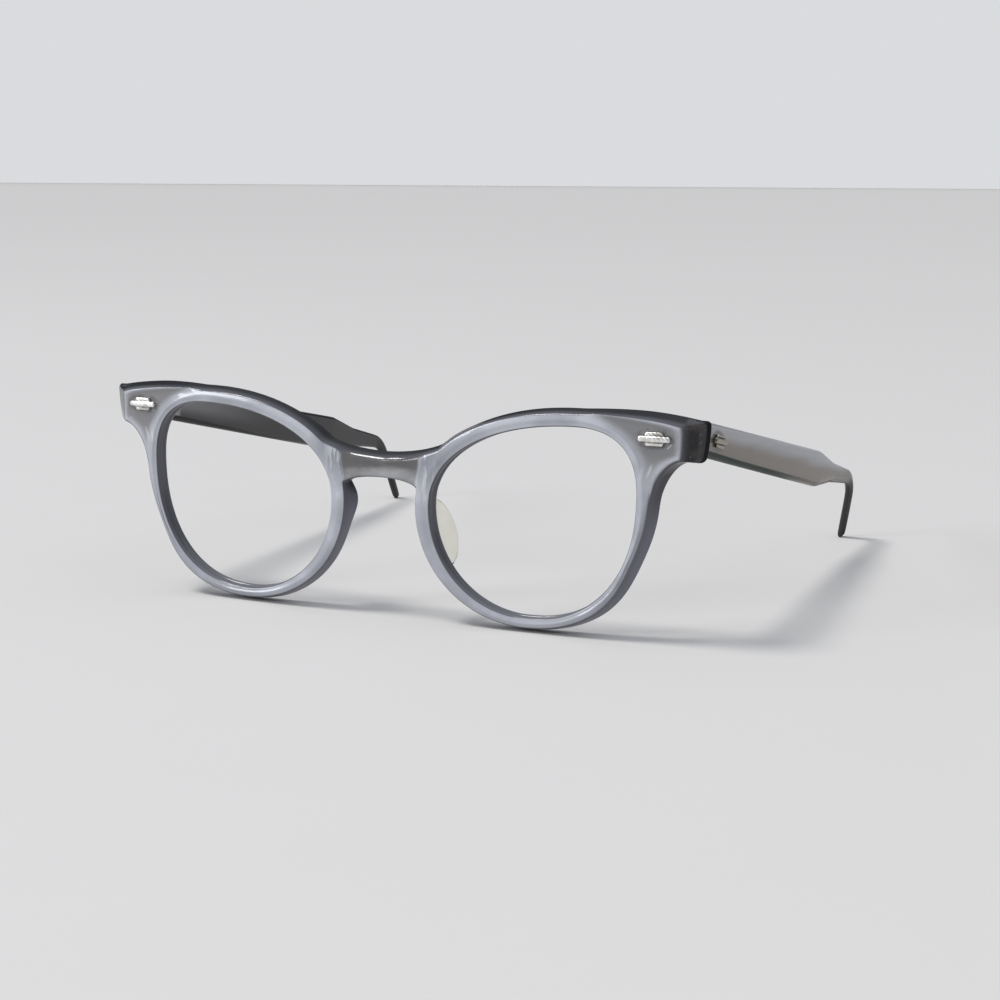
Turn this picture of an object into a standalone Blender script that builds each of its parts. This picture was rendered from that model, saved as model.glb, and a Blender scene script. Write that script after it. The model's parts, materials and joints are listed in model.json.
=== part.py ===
# Plastic eyeglasses frame with a keyhole bridge, metal plaques and folding temples.
# Metres. X runs to the wearer's left, Y to the back and Z up. Pieces are laid out about the middle of
# the bridge, at the height of the lens centre line, and one root empty then stands them on the origin.
import math

import bmesh
import bpy
from mathutils import Matrix, Vector

# Lens openings, at the wall inside the rim
LENS_WIDTH = 0.0435
LENS_HEIGHT = 0.0386
LENS_SPACING = 0.0225
LENS_TOP_RISE = 0.0189
LENS_PEAK_FROM_NOSE = 0.0308
LENS_DIP_FROM_NOSE = 0.0208
LENS_NOSE_RISE = 0.0010
LENS_SIDE_RISE = 0.0065
FULLNESS_UPPER_SIDE = 2.46
FULLNESS_UPPER_NOSE = 2.10
FULLNESS_LOWER_NOSE = 2.03
FULLNESS_LOWER_SIDE = 2.28

# Rims
RIM_WIDTH_SIDE = 0.0032
RIM_WIDTH_TOP = 0.0032
RIM_WIDTH_NOSE = 0.0034
RIM_WIDTH_BOTTOM = 0.0025
RIM_SLIMMING = 0.0010
SLIM_TURN = 3.70
SLIM_REACH = 0.20
RIM_DEPTH = 0.0044
RIM_INNER_ROLL = 0.0008
RIM_OUTER_ROLL = 0.0011
RIM_NOSE_ROLL = 0.0017
RIM_BACK_ROLL = 0.0006
BACK_LEAN_SIDE = 0.0006
BACK_LEAN_TOP = 0.0003
BACK_LEAN_BOTTOM = 0.0003
RIM_CROWN = 0.00005
INNER_ROLL_LIMIT = 0.4
OUTER_ROLL_LIMIT = 0.5
GROOVE_DEPTH = 0.0009
GROOVE_WIDTH = 0.0014
GROOVE_FROM_FRONT = 0.0022
FRONT_CURVE_RADIUS = 0.9

# Keyhole bridge
BRIDGE_TOP = 0.0113
BRIDGE_UNDERSIDE = 0.0062
BRIDGE_TOP_SHOULDER = 0.0130
BRIDGE_LOW_SHOULDER = 0.0044
BRIDGE_TOP_REACH = 0.0070
BRIDGE_LOW_REACH = 0.0068
BRIDGE_RECESS = 0.0005
BRIDGE_BACK_RECESS = 0.0004
SHOULDER_LEAN = 0.0006
SHOULDER_LEAN_RISE = 0.0135
SHOULDER_LEAN_LENGTH = 0.0030
KEYHOLE_LIP = 0.0015
KEYHOLE_LIP_RISE = 0.0014
KEYHOLE_LIP_ABOVE = 0.0017
KEYHOLE_LIP_BELOW = 0.0040

# End pieces
END_FACE_X = 0.0636
END_SIDE_X = 0.0673
END_SIDE_DEPTH = 0.0064
END_BACK_X = 0.0677
END_TOP = 0.0206
END_BOTTOM = 0.0132
END_TOP_START_X = 0.0435
END_LOW_START = 0.0050
END_TOP_PULL = (0.0560, 0.0227)
END_LOW_PULL = (0.0592, 0.0123)
END_LOW_BACK_PULL = (0.0597, 0.0127)
END_FOOT_INSET = 0.0009
END_RECESS = 0.00025
END_BACK = 0.0082
END_EDGE_ROLL = 0.0009
END_BACK_ROLL = 0.0010

# Temples
TEMPLE_THICKNESS = 0.0034
TEMPLE_END_THICKNESS = 0.0028
TEMPLE_CROWN = 0.0002
TEMPLE_CENTRE = 0.0177
TEMPLE_FRONT_HEIGHT = 0.0068
BLADE_LENGTH = 0.0870
BLADE_END_HEIGHT = 0.0085
BLADE_DROP = math.radians(12.1)
BLADE_SPREAD = math.radians(0.4)
BLADE_CORNER_ROLL = 0.0010
TAPER_LENGTH = 0.0120
TAPER_HEIGHT = 0.0049
NECK_LENGTH = 0.0140
NECK_HEIGHT = 0.0035
EAR_BEND_RADIUS = 0.0070
EAR_BEND = math.radians(66.0)
EAR_TIP_LENGTH = 0.0115
EAR_TIP_WIDTH = 0.0025
EAR_TIP_THICKNESS = 0.0018
EAR_TIP_INWARD = 0.0030
TIP_THINNING = 0.0005

# Hinges: the axis stands behind the end piece, and the temple's inner face beside the knuckles
HINGE_X = 0.0605
HINGE_BEHIND = 0.0023
HINGE_RISE = 0.0170
HINGE_HEIGHT = 0.0048
KNUCKLE_RADIUS = 0.00115
KNUCKLE_WEB_INSIDE = 0.0009
KNUCKLE_WEB_OUTSIDE = 0.0006
TEMPLE_BESIDE = 0.00035
LEAF_THICKNESS = 0.0007
FRONT_LEAF_REACH = 0.0049
TEMPLE_LEAF_BEHIND = 0.0017
TEMPLE_LEAF_LENGTH = 0.0090
SCREW_RADIUS = 0.00045
SCREW_HEAD_RADIUS = 0.0010
SCREW_HEAD_HEIGHT = 0.0005
SCREW_SLOT_WIDTH = 0.0003
SCREW_SLOT_DEPTH = 0.00025

# Plaques of stacked bars, with rivet pins behind
PLAQUE_LENGTH = 0.0064
PLAQUE_BAR_HEIGHT = 0.0011
PLAQUE_BAR_THICKNESS = 0.0007
PLAQUE_SIDE_LENGTH = 0.0039
PLAQUE_SIDE_HEIGHT = 0.0007
PLAQUE_SIDE_THICKNESS = 0.0005
PLAQUE_SIDE_GAP = 0.00008
PLAQUE_BASE_THICKNESS = 0.00022
PLAQUE_EDGE = 0.00012
PLAQUE_BACK_STEP = 0.00004
FRONT_PLAQUE_FROM_HINGE = 0.0023
FRONT_PLAQUE_RISE = 0.0176
TEMPLE_PLAQUE_FROM_FRONT = 0.0102
PIN_RADIUS = 0.00045
PIN_SPACING = 0.0024
PIN_END_GAP = 0.0001

# Nose pads
PAD_TOP = 0.0022
PAD_BOTTOM = -0.0128
PAD_DEPTH = 0.0050
PAD_END_DEPTH = 0.0006
PAD_FULLNESS = 0.6
PAD_FLARE = 0.0024
PAD_FOOT_WIDTH = 0.0020
PAD_EDGE_WIDTH = 0.0010
PAD_WAIST = 0.6
PAD_LIP = 0.9

# Gaps
SEAT_GAP = 0.0003
RUNNING_GAP = 0.0002

# Mesh steps along each stretch
END_STEPS = 9
BROW_STEPS = 14
BRIDGE_STEPS = 5
LOWER_STEPS = 32
BLADE_STEPS = 5
TAPER_STEPS = 2
BEND_STEPS = 5
TIP_STEPS = 4
PAD_STEPS = 12
ROUND_STEPS = 24
PIN_STEPS = 16

# Where each sheet of a web has its edges, as shares of the way out from the rim
BRIDGE_COLUMNS = [0.3, 0.6, 0.82, 1.0]
END_COLUMNS = [0.24, 0.48, 0.7, 0.87, 0.95, 1.0]

# Stretches of the rim that are searched for a height or a width, in quarters from the side
SIDE_STRETCH = (-0.6, 0.9)
BROW_STRETCH = (0.1, 1.0)
NOSE_STRETCH = (1.1, 2.8)
SEARCH_STEPS = 40
TURN_STEP = 0.02

# Numbering along the rim's section
OUTER_FRONT = 6
OUTER_BACK = 7

FRONT_PLAQUE_X = HINGE_X - FRONT_PLAQUE_FROM_HINGE
HINGE_Y = END_BACK + HINGE_BEHIND

LEFT = 1
RIGHT = -1
SIDE_NAMES = {LEFT: "left", RIGHT: "right"}


def clear_scene():
    for item in list(bpy.data.objects):
        bpy.data.objects.remove(item, do_unlink=True)


def make_finish(name, colour, roughness, metallic, transmission=0.0):
    finish = bpy.data.materials.new(name)
    finish.use_nodes = True
    shader = finish.node_tree.nodes["Principled BSDF"]
    shader.inputs["Base Color"].default_value = (*colour, 1.0)
    shader.inputs["Roughness"].default_value = roughness
    shader.inputs["Metallic"].default_value = metallic
    shader.inputs["Transmission Weight"].default_value = transmission
    return finish


def make_empty(name, parent, location):
    empty = bpy.data.objects.new(name, None)
    bpy.context.collection.objects.link(empty)
    empty.parent = parent
    empty.location = location
    return empty


# Makes an object of a shape laid out about the bridge, with its origin on its parent.
def make_piece(name, shape, finish, parent, origin=Vector((0, 0, 0)), smooth_angle=40):
    bmesh.ops.recalc_face_normals(shape, faces=shape.faces)
    bmesh.ops.translate(shape, verts=shape.verts, vec=-origin)
    mesh = bpy.data.meshes.new(name)
    shape.to_mesh(mesh)
    shape.free()
    mesh.shade_smooth()
    mesh.set_sharp_from_angle(angle=math.radians(smooth_angle))
    mesh.materials.append(finish)
    piece = bpy.data.objects.new(name, mesh)
    bpy.context.collection.objects.link(piece)
    piece.parent = parent
    return piece


# Keeps a cutter or an added lump out of the finished model, and applies it to a piece.
def combine(piece, tool, operation):
    tool.hide_render = True
    tool.display_type = "WIRE"
    step = piece.modifiers.new(tool.name, "BOOLEAN")
    step.operation = operation
    step.object = tool


def box_shape(low, high, edge=0.0):
    shape = bmesh.new()
    bmesh.ops.create_cube(shape, size=1.0)
    size = Vector(high) - Vector(low)
    bmesh.ops.scale(shape, verts=shape.verts, vec=size)
    bmesh.ops.translate(shape, verts=shape.verts, vec=(Vector(high) + Vector(low)) / 2)
    if edge:
        bmesh.ops.bevel(shape, geom=shape.edges, offset=edge, segments=1, affect="EDGES")
    return shape


# A round bar from one point to another.
def bar_shape(start, end, radius, steps):
    start = Vector(start)
    run = Vector(end) - start
    turn = Vector((0, 0, 1)).rotation_difference(run).to_matrix().to_4x4()
    place = Matrix.Translation(start + run / 2) @ turn
    shape = bmesh.new()
    bmesh.ops.create_cone(shape, cap_ends=True, segments=steps, radius1=radius, radius2=radius,
                          depth=run.length, matrix=place)
    return shape


def mix(start, end, share):
    return start + (end - start) * share


# A curve from start to end, drawn towards one pull point.
def drawn_curve(start, pull, end, share):
    return mix(mix(start, pull, share), mix(pull, end, share), share)


# How far the front bends back at a distance from the middle.
def bow(x):
    return x * x / (2 * FRONT_CURVE_RADIUS)


# Outline of a lens opening. One turn unit is a quarter: side, top, nose, bottom and round again.
def opening_point(turn):
    nose = LENS_SPACING / 2
    side_point = Vector((nose + LENS_WIDTH, LENS_SIDE_RISE))
    top_point = Vector((nose + LENS_PEAK_FROM_NOSE, LENS_TOP_RISE))
    nose_point = Vector((nose, LENS_NOSE_RISE))
    low_point = Vector((nose + LENS_DIP_FROM_NOSE, LENS_TOP_RISE - LENS_HEIGHT))
    corners = [side_point, top_point, nose_point, low_point]
    fullness = [FULLNESS_UPPER_SIDE, FULLNESS_UPPER_NOSE, FULLNESS_LOWER_NOSE, FULLNESS_LOWER_SIDE]
    quarter = math.floor(turn) % 4
    angle = (turn - math.floor(turn)) * math.pi / 2
    start = corners[quarter]
    end = corners[(quarter + 1) % 4]
    if quarter % 2 == 0:
        centre = Vector((end.x, start.y))
    else:
        centre = Vector((start.x, end.y))
    power = 2 / fullness[quarter]
    return centre + (start - centre) * math.cos(angle) ** power + (end - centre) * math.sin(angle) ** power


# A size that changes smoothly round the rim, given at the side, top, nose and bottom.
def around_rim(sizes, turn):
    quarter = math.floor(turn) % 4
    share = (1 - math.cos(math.pi * (turn - math.floor(turn)))) / 2
    return mix(sizes[quarter], sizes[(quarter + 1) % 4], share)


# The rim is slimmest on the lower side.
def rim_width(turn):
    away = ((turn - SLIM_TURN + 2) % 4 - 2) / SLIM_REACH
    width = around_rim([RIM_WIDTH_SIDE, RIM_WIDTH_TOP, RIM_WIDTH_NOSE, RIM_WIDTH_BOTTOM], turn)
    return width - RIM_SLIMMING * math.exp(-away * away)


# How far the back of the rim stands in towards the nose below the keyhole.
def keyhole_lip(turn):
    if not 1 < turn % 4 < 3:
        return 0
    rise = rim_outer_point(turn).y - KEYHOLE_LIP_RISE
    away = rise / (KEYHOLE_LIP_ABOVE if rise > 0 else KEYHOLE_LIP_BELOW)
    return KEYHOLE_LIP * math.exp(-away * away)


# How far it stands out where the brow comes down to the bridge.
def shoulder_lean(turn):
    if not 1 < turn % 4 < 2:
        return 0
    away = (rim_outer_point(turn).y - SHOULDER_LEAN_RISE) / SHOULDER_LEAN_LENGTH
    return SHOULDER_LEAN * math.exp(-away * away)


def rim_outer_roll(turn):
    return around_rim([RIM_OUTER_ROLL, RIM_OUTER_ROLL, RIM_NOSE_ROLL, RIM_OUTER_ROLL], turn)


def rim_outward(turn):
    along = opening_point(turn + TURN_STEP) - opening_point(turn - TURN_STEP)
    return Vector((along.y, -along.x)).normalized()


def rim_outer_point(turn):
    return opening_point(turn) + rim_outward(turn) * rim_width(turn)


# How far the back edge of the outer wall stands out beyond its front edge.
def back_lean(turn):
    lean = around_rim([BACK_LEAN_SIDE, BACK_LEAN_TOP, 0, BACK_LEAN_BOTTOM], turn)
    return lean + shoulder_lean(turn) + keyhole_lip(turn)


def rim_outer_back_point(turn):
    return rim_outer_point(turn) + rim_outward(turn) * back_lean(turn)


# The turn, between two others, where a steadily changing measure has a given value.
def turn_where(measure, value, low, high):
    rising = measure(high) > measure(low)
    for _ in range(SEARCH_STEPS):
        middle = (low + high) / 2
        if (measure(middle) < value) == rising:
            low = middle
        else:
            high = middle
    return (low + high) / 2


# Section of the rim: across from the lens wall, and back from the crest of the front.
def rim_section(turn):
    width = rim_width(turn)
    lean = back_lean(turn)
    inner = min(RIM_INNER_ROLL, width * INNER_ROLL_LIMIT)
    outer = min(rim_outer_roll(turn), width * OUTER_ROLL_LIMIT)
    shoulder = 1 - math.cos(math.pi / 4)
    profile = [
        (0, inner),
        (shoulder * inner, shoulder * inner),
        (inner, RIM_CROWN),
        ((inner + width - outer) / 2, 0),
        (width - outer, RIM_CROWN),
        (width - shoulder * outer, shoulder * outer),
        (width, outer),
        (width + lean, RIM_DEPTH - RIM_BACK_ROLL),
        (width + lean - RIM_BACK_ROLL, RIM_DEPTH),
        (RIM_BACK_ROLL, RIM_DEPTH),
        (0, RIM_DEPTH - RIM_BACK_ROLL),
        (0, GROOVE_FROM_FRONT + GROOVE_WIDTH / 2),
        (GROOVE_DEPTH, GROOVE_FROM_FRONT),
        (0, GROOVE_FROM_FRONT - GROOVE_WIDTH / 2),
    ]
    wall = opening_point(turn)
    outward = rim_outward(turn)
    points = []
    for across, depth in profile:
        spot = wall + outward * across
        points.append(Vector((spot.x, bow(spot.x) + depth, spot.y)))
    return points


def spread(start, end, steps):
    return [mix(start, end, step / steps) for step in range(steps)]


# Grows a web out of the open outer wall of the rim, as a front and a back sheet with walls between.
def add_web(shape, rows, fronts, backs, capped):
    front_rows = []
    back_rows = []
    for section, front, back in zip(rows, fronts, backs):
        front_rows.append([section[OUTER_FRONT]] + [shape.verts.new(spot) for spot in front])
        back_rows.append([section[OUTER_BACK]] + [shape.verts.new(spot) for spot in back])
    last = len(rows) - 1
    columns = len(front_rows[0]) - 1
    for column in range(columns):
        for row in range(last):
            for sheet in (front_rows, back_rows):
                shape.faces.new((sheet[row][column], sheet[row][column + 1],
                                 sheet[row + 1][column + 1], sheet[row + 1][column]))
        for row in (0, last):
            shape.faces.new((front_rows[row][column], front_rows[row][column + 1],
                             back_rows[row][column + 1], back_rows[row][column]))
    if capped:
        for row in range(last):
            shape.faces.new((front_rows[row][columns], front_rows[row + 1][columns],
                             back_rows[row + 1][columns], back_rows[row][columns]))


# One half of the bridge, from the rim to the middle.
def bridge_sheets(turns):
    top_pull = Vector((BRIDGE_TOP_REACH, BRIDGE_TOP))
    low_pull = Vector((BRIDGE_LOW_REACH, BRIDGE_UNDERSIDE))
    fronts = []
    backs = []
    for row, turn in enumerate(turns):
        share = row / (len(turns) - 1)
        edge = row in (0, len(turns) - 1)
        end = Vector((0, mix(BRIDGE_TOP, BRIDGE_UNDERSIDE, share)))
        pull = mix(top_pull, low_pull, share)
        front_depth = BRIDGE_RECESS + (RIM_OUTER_ROLL if edge else 0)
        back_depth = RIM_DEPTH - BRIDGE_BACK_RECESS - (RIM_BACK_ROLL if edge else 0)
        front = []
        back = []
        for column in BRIDGE_COLUMNS:
            spot = drawn_curve(rim_outer_point(turn), pull, end, column)
            front.append(Vector((spot.x, bow(spot.x) + front_depth, spot.y)))
            spot = drawn_curve(rim_outer_back_point(turn), pull, end, column)
            back.append(Vector((spot.x, bow(spot.x) + back_depth, spot.y)))
        fronts.append(front)
        backs.append(back)
    return fronts, backs


# One end piece, from the rim out to its slanted end and the flat back behind it.
def end_sheets(turns):
    top_pull = Vector(END_TOP_PULL)
    low_pull = Vector(END_LOW_PULL)
    low_back_pull = Vector(END_LOW_BACK_PULL)
    fronts = []
    backs = []
    for row, turn in enumerate(turns):
        share = row / (len(turns) - 1)
        edge = row in (0, len(turns) - 1)
        height = mix(END_BOTTOM, END_TOP, share)
        back_height = height + BACK_LEAN_TOP * share
        inset = END_FOOT_INSET * (1 - share) ** 2
        pull = mix(low_pull, top_pull, share)
        back_pull = mix(low_back_pull, top_pull + Vector((0, BACK_LEAN_TOP)), share)
        front_end = Vector((END_FACE_X, height))
        back_end = Vector((END_BACK_X - inset - END_BACK_ROLL, back_height))
        face_roll = END_EDGE_ROLL if edge else 0
        back_roll = END_BACK_ROLL if edge else 0
        front = []
        back = []
        for column in END_COLUMNS:
            spot = drawn_curve(rim_outer_point(turn), pull, front_end, column)
            corner_roll = END_EDGE_ROLL / 2 if column == 1.0 else 0
            depth = END_RECESS + max(face_roll, corner_roll)
            front.append(Vector((spot.x, bow(spot.x) + depth, spot.y)))
            spot = drawn_curve(rim_outer_back_point(turn), back_pull, back_end, column)
            rim_back = bow(spot.x) + RIM_DEPTH
            depth = mix(rim_back, END_BACK, min(column * 2, 1)) - back_roll
            back.append(Vector((spot.x, depth, spot.y)))
        tuck = inset + back_roll / 2
        front.append(Vector((END_SIDE_X - tuck, END_SIDE_DEPTH, height)))
        front.append(Vector((END_BACK_X - tuck, END_BACK - END_BACK_ROLL, back_height)))
        back[-1:-1] = [mix(back[-2], back[-1], 1 / 3), mix(back[-2], back[-1], 2 / 3)]
        fronts.append(front)
        backs.append(back)
    return fronts, backs


def build_front(root, finish):
    end_low = turn_where(lambda turn: rim_outer_point(turn).y, END_LOW_START, *SIDE_STRETCH)
    end_top = turn_where(lambda turn: rim_outer_point(turn).x, END_TOP_START_X, *BROW_STRETCH)
    bridge_top = turn_where(lambda turn: rim_outer_point(turn).y, BRIDGE_TOP_SHOULDER, *NOSE_STRETCH)
    bridge_low = turn_where(lambda turn: rim_outer_point(turn).y, BRIDGE_LOW_SHOULDER, *NOSE_STRETCH)
    turns = spread(end_low, end_top, END_STEPS)
    turns += spread(end_top, bridge_top, BROW_STEPS)
    turns += spread(bridge_top, bridge_low, BRIDGE_STEPS)
    turns += spread(bridge_low, end_low + 4, LOWER_STEPS)
    bridge_start = END_STEPS + BROW_STEPS
    bridge_end = bridge_start + BRIDGE_STEPS

    shape = bmesh.new()
    sections = [[shape.verts.new(spot) for spot in rim_section(turn)] for turn in turns]
    for index, section in enumerate(sections):
        after = sections[(index + 1) % len(sections)]
        carries_web = index < END_STEPS or bridge_start <= index < bridge_end
        for side in range(len(section)):
            if side == OUTER_FRONT and carries_web:
                continue
            beyond = (side + 1) % len(section)
            shape.faces.new((section[side], after[side], after[beyond], section[beyond]))
    fronts, backs = end_sheets(turns[:END_STEPS + 1])
    add_web(shape, sections[:END_STEPS + 1], fronts, backs, True)
    fronts, backs = bridge_sheets(turns[bridge_start:bridge_end + 1])
    add_web(shape, sections[bridge_start:bridge_end + 1], fronts, backs, False)

    piece = make_piece("front_frame", shape, finish, root, smooth_angle=60)
    mirror = piece.modifiers.new("other_half", "MIRROR")
    mirror.merge_threshold = 0.00005
    for side in (LEFT, RIGHT):
        drill_pin_holes(piece, front_plaque_place(side), front_pin_length(), root)


# Where a front plaque lies: its middle on the end piece's face, turned to follow the bow.
# Its own X runs along the bars, its Y into the plastic and its Z up.
def front_plaque_place(side):
    lean = math.atan(FRONT_PLAQUE_X / FRONT_CURVE_RADIUS)
    depth = bow(FRONT_PLAQUE_X) + END_RECESS - SEAT_GAP
    spot = Vector((side * FRONT_PLAQUE_X, depth, FRONT_PLAQUE_RISE))
    return Matrix.Translation(spot) @ Matrix.Rotation(side * lean, 4, "Z")


# Where a temple plaque lies: on the outer face, along the blade.
def temple_plaque_place(side):
    middle, _ = temple_path(TEMPLE_PLAQUE_FROM_FRONT)
    outer = temple_outer_x(TEMPLE_PLAQUE_FROM_FRONT) + TEMPLE_CROWN + SEAT_GAP
    spot = Vector((side * outer, middle.x, middle.y))
    along = Vector((0, math.cos(BLADE_DROP), -math.sin(BLADE_DROP)))
    inward = Vector((-side, 0, 0))
    up = along.cross(inward) * side
    turn = Matrix((along * side, inward, up)).transposed().to_4x4()
    return Matrix.Translation(spot) @ turn


# From the back of a plaque through the plastic and the hinge leaf behind it.
def front_pin_length():
    return END_BACK - front_plaque_place(LEFT).translation.y + SEAT_GAP + LEAF_THICKNESS


def temple_pin_length():
    return SEAT_GAP + TEMPLE_CROWN + temple_thickness(TEMPLE_PLAQUE_FROM_FRONT) + SEAT_GAP + LEAF_THICKNESS


def pin_spots(place, start, end):
    for way in (-1, 1):
        across = way * PIN_SPACING / 2
        yield place @ Vector((across, start, 0)), place @ Vector((across, end, 0))


# Holes for a plaque's pins, from its front to just past their ends.
def drill_pin_holes(piece, place, length, parent, origin=Vector((0, 0, 0))):
    for start, end in pin_spots(place, -PLAQUE_BAR_THICKNESS, length + PIN_END_GAP):
        hole = bar_shape(start, end, PIN_RADIUS + SEAT_GAP, PIN_STEPS)
        cutter = make_piece("pin_hole", hole, piece.data.materials[0], parent, origin)
        combine(piece, cutter, "DIFFERENCE")


# A long bar between two short ones on a thin base, with two pins behind that reach through the plastic.
def build_plaque(name, place, pin_length, finish, parent, origin=Vector((0, 0, 0))):
    half = PLAQUE_LENGTH / 2
    bar_half = PLAQUE_BAR_HEIGHT / 2
    side_low = bar_half + PLAQUE_SIDE_GAP
    side_high = side_low + PLAQUE_SIDE_HEIGHT
    side_half = PLAQUE_SIDE_LENGTH / 2
    lumps = [box_shape((-half, -PLAQUE_BAR_THICKNESS, -bar_half), (half, 0, bar_half), PLAQUE_EDGE)]
    for way in (-1, 1):
        rows = sorted((way * side_low, way * side_high))
        lumps.append(box_shape((-side_half, -PLAQUE_SIDE_THICKNESS, rows[0]),
                               (side_half, -2 * PLAQUE_BACK_STEP, rows[1]), PLAQUE_EDGE))
    base_half = side_half - PLAQUE_EDGE * 2
    base_high = side_high - PLAQUE_EDGE * 2
    lumps.append(box_shape((-base_half, -PLAQUE_BASE_THICKNESS, -base_high),
                           (base_half, -PLAQUE_BACK_STEP, base_high)))
    for shape in lumps:
        bmesh.ops.transform(shape, matrix=place, verts=shape.verts)
    for start, end in pin_spots(place, -PLAQUE_BAR_THICKNESS / 2, pin_length):
        lumps.append(bar_shape(start, end, PIN_RADIUS, PIN_STEPS))
    piece = make_piece(name, lumps[0], finish, parent, origin)
    for shape in lumps[1:]:
        lump = make_piece("plaque_lump", shape, finish, parent, origin)
        combine(piece, lump, "UNION")
    return piece


def knuckle_heights():
    share = (HINGE_HEIGHT - 2 * RUNNING_GAP) / 3
    low = HINGE_RISE - HINGE_HEIGHT / 2
    heights = []
    for row in range(3):
        bottom = low + row * (share + RUNNING_GAP)
        heights.append((bottom, bottom + share))
    return heights


def mirrored_box(side, low, high):
    edges = sorted((side * low[0], side * high[0]))
    return box_shape((edges[0], low[1], low[2]), (edges[1], high[1], high[2]))


# Adds a knuckle with its web to a leaf.
def add_knuckle(leaf, side, low, high, web_low, web_high, finish, parent, origin):
    axis = Vector((side * HINGE_X, HINGE_Y, 0))
    barrel = bar_shape(axis + Vector((0, 0, low)), axis + Vector((0, 0, high)), KNUCKLE_RADIUS, ROUND_STEPS)
    web = mirrored_box(side, (web_low[0], web_low[1], low), (web_high[0], web_high[1], high))
    for shape in (web, barrel):
        combine(leaf, make_piece("knuckle_lump", shape, finish, parent, origin), "UNION")


def bore_knuckles(leaf, side, finish, parent, origin):
    axis = Vector((side * HINGE_X, HINGE_Y, HINGE_RISE))
    reach = Vector((0, 0, HINGE_HEIGHT))
    bore = bar_shape(axis - reach, axis + reach, SCREW_RADIUS + RUNNING_GAP, PIN_STEPS)
    combine(leaf, make_piece("screw_bore", bore, finish, parent, origin), "DIFFERENCE")


def build_front_leaf(side, finish, root):
    heights = knuckle_heights()
    seat = END_BACK + SEAT_GAP
    plate = mirrored_box(side, (HINGE_X - FRONT_LEAF_REACH, seat, heights[0][0]),
                         (HINGE_X + KNUCKLE_WEB_OUTSIDE, seat + LEAF_THICKNESS, heights[2][1]))
    none = Vector((0, 0, 0))
    leaf = make_piece("front_hinge_leaf_" + SIDE_NAMES[side], plate, finish, root)
    web_low = (HINGE_X - KNUCKLE_WEB_INSIDE, seat + LEAF_THICKNESS / 2)
    web_high = (HINGE_X + KNUCKLE_WEB_OUTSIDE, HINGE_Y)
    for low, high in (heights[0], heights[2]):
        add_knuckle(leaf, side, low, high, web_low, web_high, finish, root, none)
    bore_knuckles(leaf, side, finish, root, none)
    drill_pin_holes(leaf, front_plaque_place(side), front_pin_length(), root)


def build_temple_leaf(side, finish, hinge, origin):
    low, high = knuckle_heights()[1]
    along = HINGE_BEHIND + TEMPLE_LEAF_BEHIND + TEMPLE_LEAF_LENGTH / 2 - SEAT_GAP
    middle, _ = temple_path(along)
    seat = temple_inner_x(along) - SEAT_GAP
    half = TEMPLE_LEAF_LENGTH / 2
    high_half = HINGE_HEIGHT / 2
    plate = mirrored_box(side, (seat - LEAF_THICKNESS, -half, -high_half), (seat, half, high_half))
    turn = Matrix.Translation((0, middle.x, middle.y)) @ Matrix.Rotation(-BLADE_DROP, 4, "X")
    bmesh.ops.transform(plate, matrix=turn, verts=plate.verts)
    leaf = make_piece("temple_hinge_leaf_" + SIDE_NAMES[side], plate, finish, hinge, origin)
    web_low = (HINGE_X, HINGE_Y)
    web_high = (seat - LEAF_THICKNESS / 4, middle.x - half + LEAF_THICKNESS * 2)
    add_knuckle(leaf, side, low, high, web_low, web_high, finish, hinge, origin)
    bore_knuckles(leaf, side, finish, hinge, origin)
    drill_pin_holes(leaf, temple_plaque_place(side), temple_pin_length(), hinge, origin)


def build_screw(side, finish, root):
    heights = knuckle_heights()
    axis = Vector((side * HINGE_X, HINGE_Y, 0))
    top = heights[2][1] + SEAT_GAP
    shaft = bar_shape(axis + Vector((0, 0, heights[0][0])), axis + Vector((0, 0, top + SCREW_HEAD_HEIGHT / 2)),
                      SCREW_RADIUS, PIN_STEPS)
    head = bar_shape(axis + Vector((0, 0, top)), axis + Vector((0, 0, top + SCREW_HEAD_HEIGHT)),
                     SCREW_HEAD_RADIUS, ROUND_STEPS)
    screw = make_piece("hinge_screw_" + SIDE_NAMES[side], head, finish, root)
    combine(screw, make_piece("screw_shaft", shaft, finish, root), "UNION")
    slot_low = axis + Vector((-SCREW_HEAD_RADIUS * 2, -SCREW_SLOT_WIDTH / 2,
                              top + SCREW_HEAD_HEIGHT - SCREW_SLOT_DEPTH))
    slot_high = axis + Vector((SCREW_HEAD_RADIUS * 2, SCREW_SLOT_WIDTH / 2, top + 2 * SCREW_HEAD_HEIGHT))
    combine(screw, make_piece("screw_slot", box_shape(slot_low, slot_high), finish, root), "DIFFERENCE")


# Middle line of a temple, seen from the side: the spot as depth and height, and how steeply it falls.
def temple_path(along):
    straight = BLADE_LENGTH + TAPER_LENGTH + NECK_LENGTH
    bend_length = EAR_BEND_RADIUS * EAR_BEND
    start = Vector((END_BACK + SEAT_GAP, TEMPLE_CENTRE))
    forward = Vector((math.cos(BLADE_DROP), -math.sin(BLADE_DROP)))
    downward = Vector((-forward.y, forward.x)) * -1
    if along <= straight:
        return start + forward * along, BLADE_DROP
    turned = min((along - straight) / EAR_BEND_RADIUS, EAR_BEND)
    spot = start + forward * (straight + EAR_BEND_RADIUS * math.sin(turned))
    spot += downward * EAR_BEND_RADIUS * (1 - math.cos(turned))
    fall = BLADE_DROP + turned
    beyond = max(along - straight - bend_length, 0)
    return spot + Vector((math.cos(fall), -math.sin(fall))) * beyond, fall


def temple_thickness(along):
    neck_end = BLADE_LENGTH + TAPER_LENGTH + NECK_LENGTH
    if along <= BLADE_LENGTH:
        return mix(TEMPLE_THICKNESS, TEMPLE_END_THICKNESS, along / BLADE_LENGTH)
    share = min((along - BLADE_LENGTH) / (neck_end - BLADE_LENGTH), 1)
    return mix(TEMPLE_END_THICKNESS, EAR_TIP_THICKNESS, share)


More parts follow.
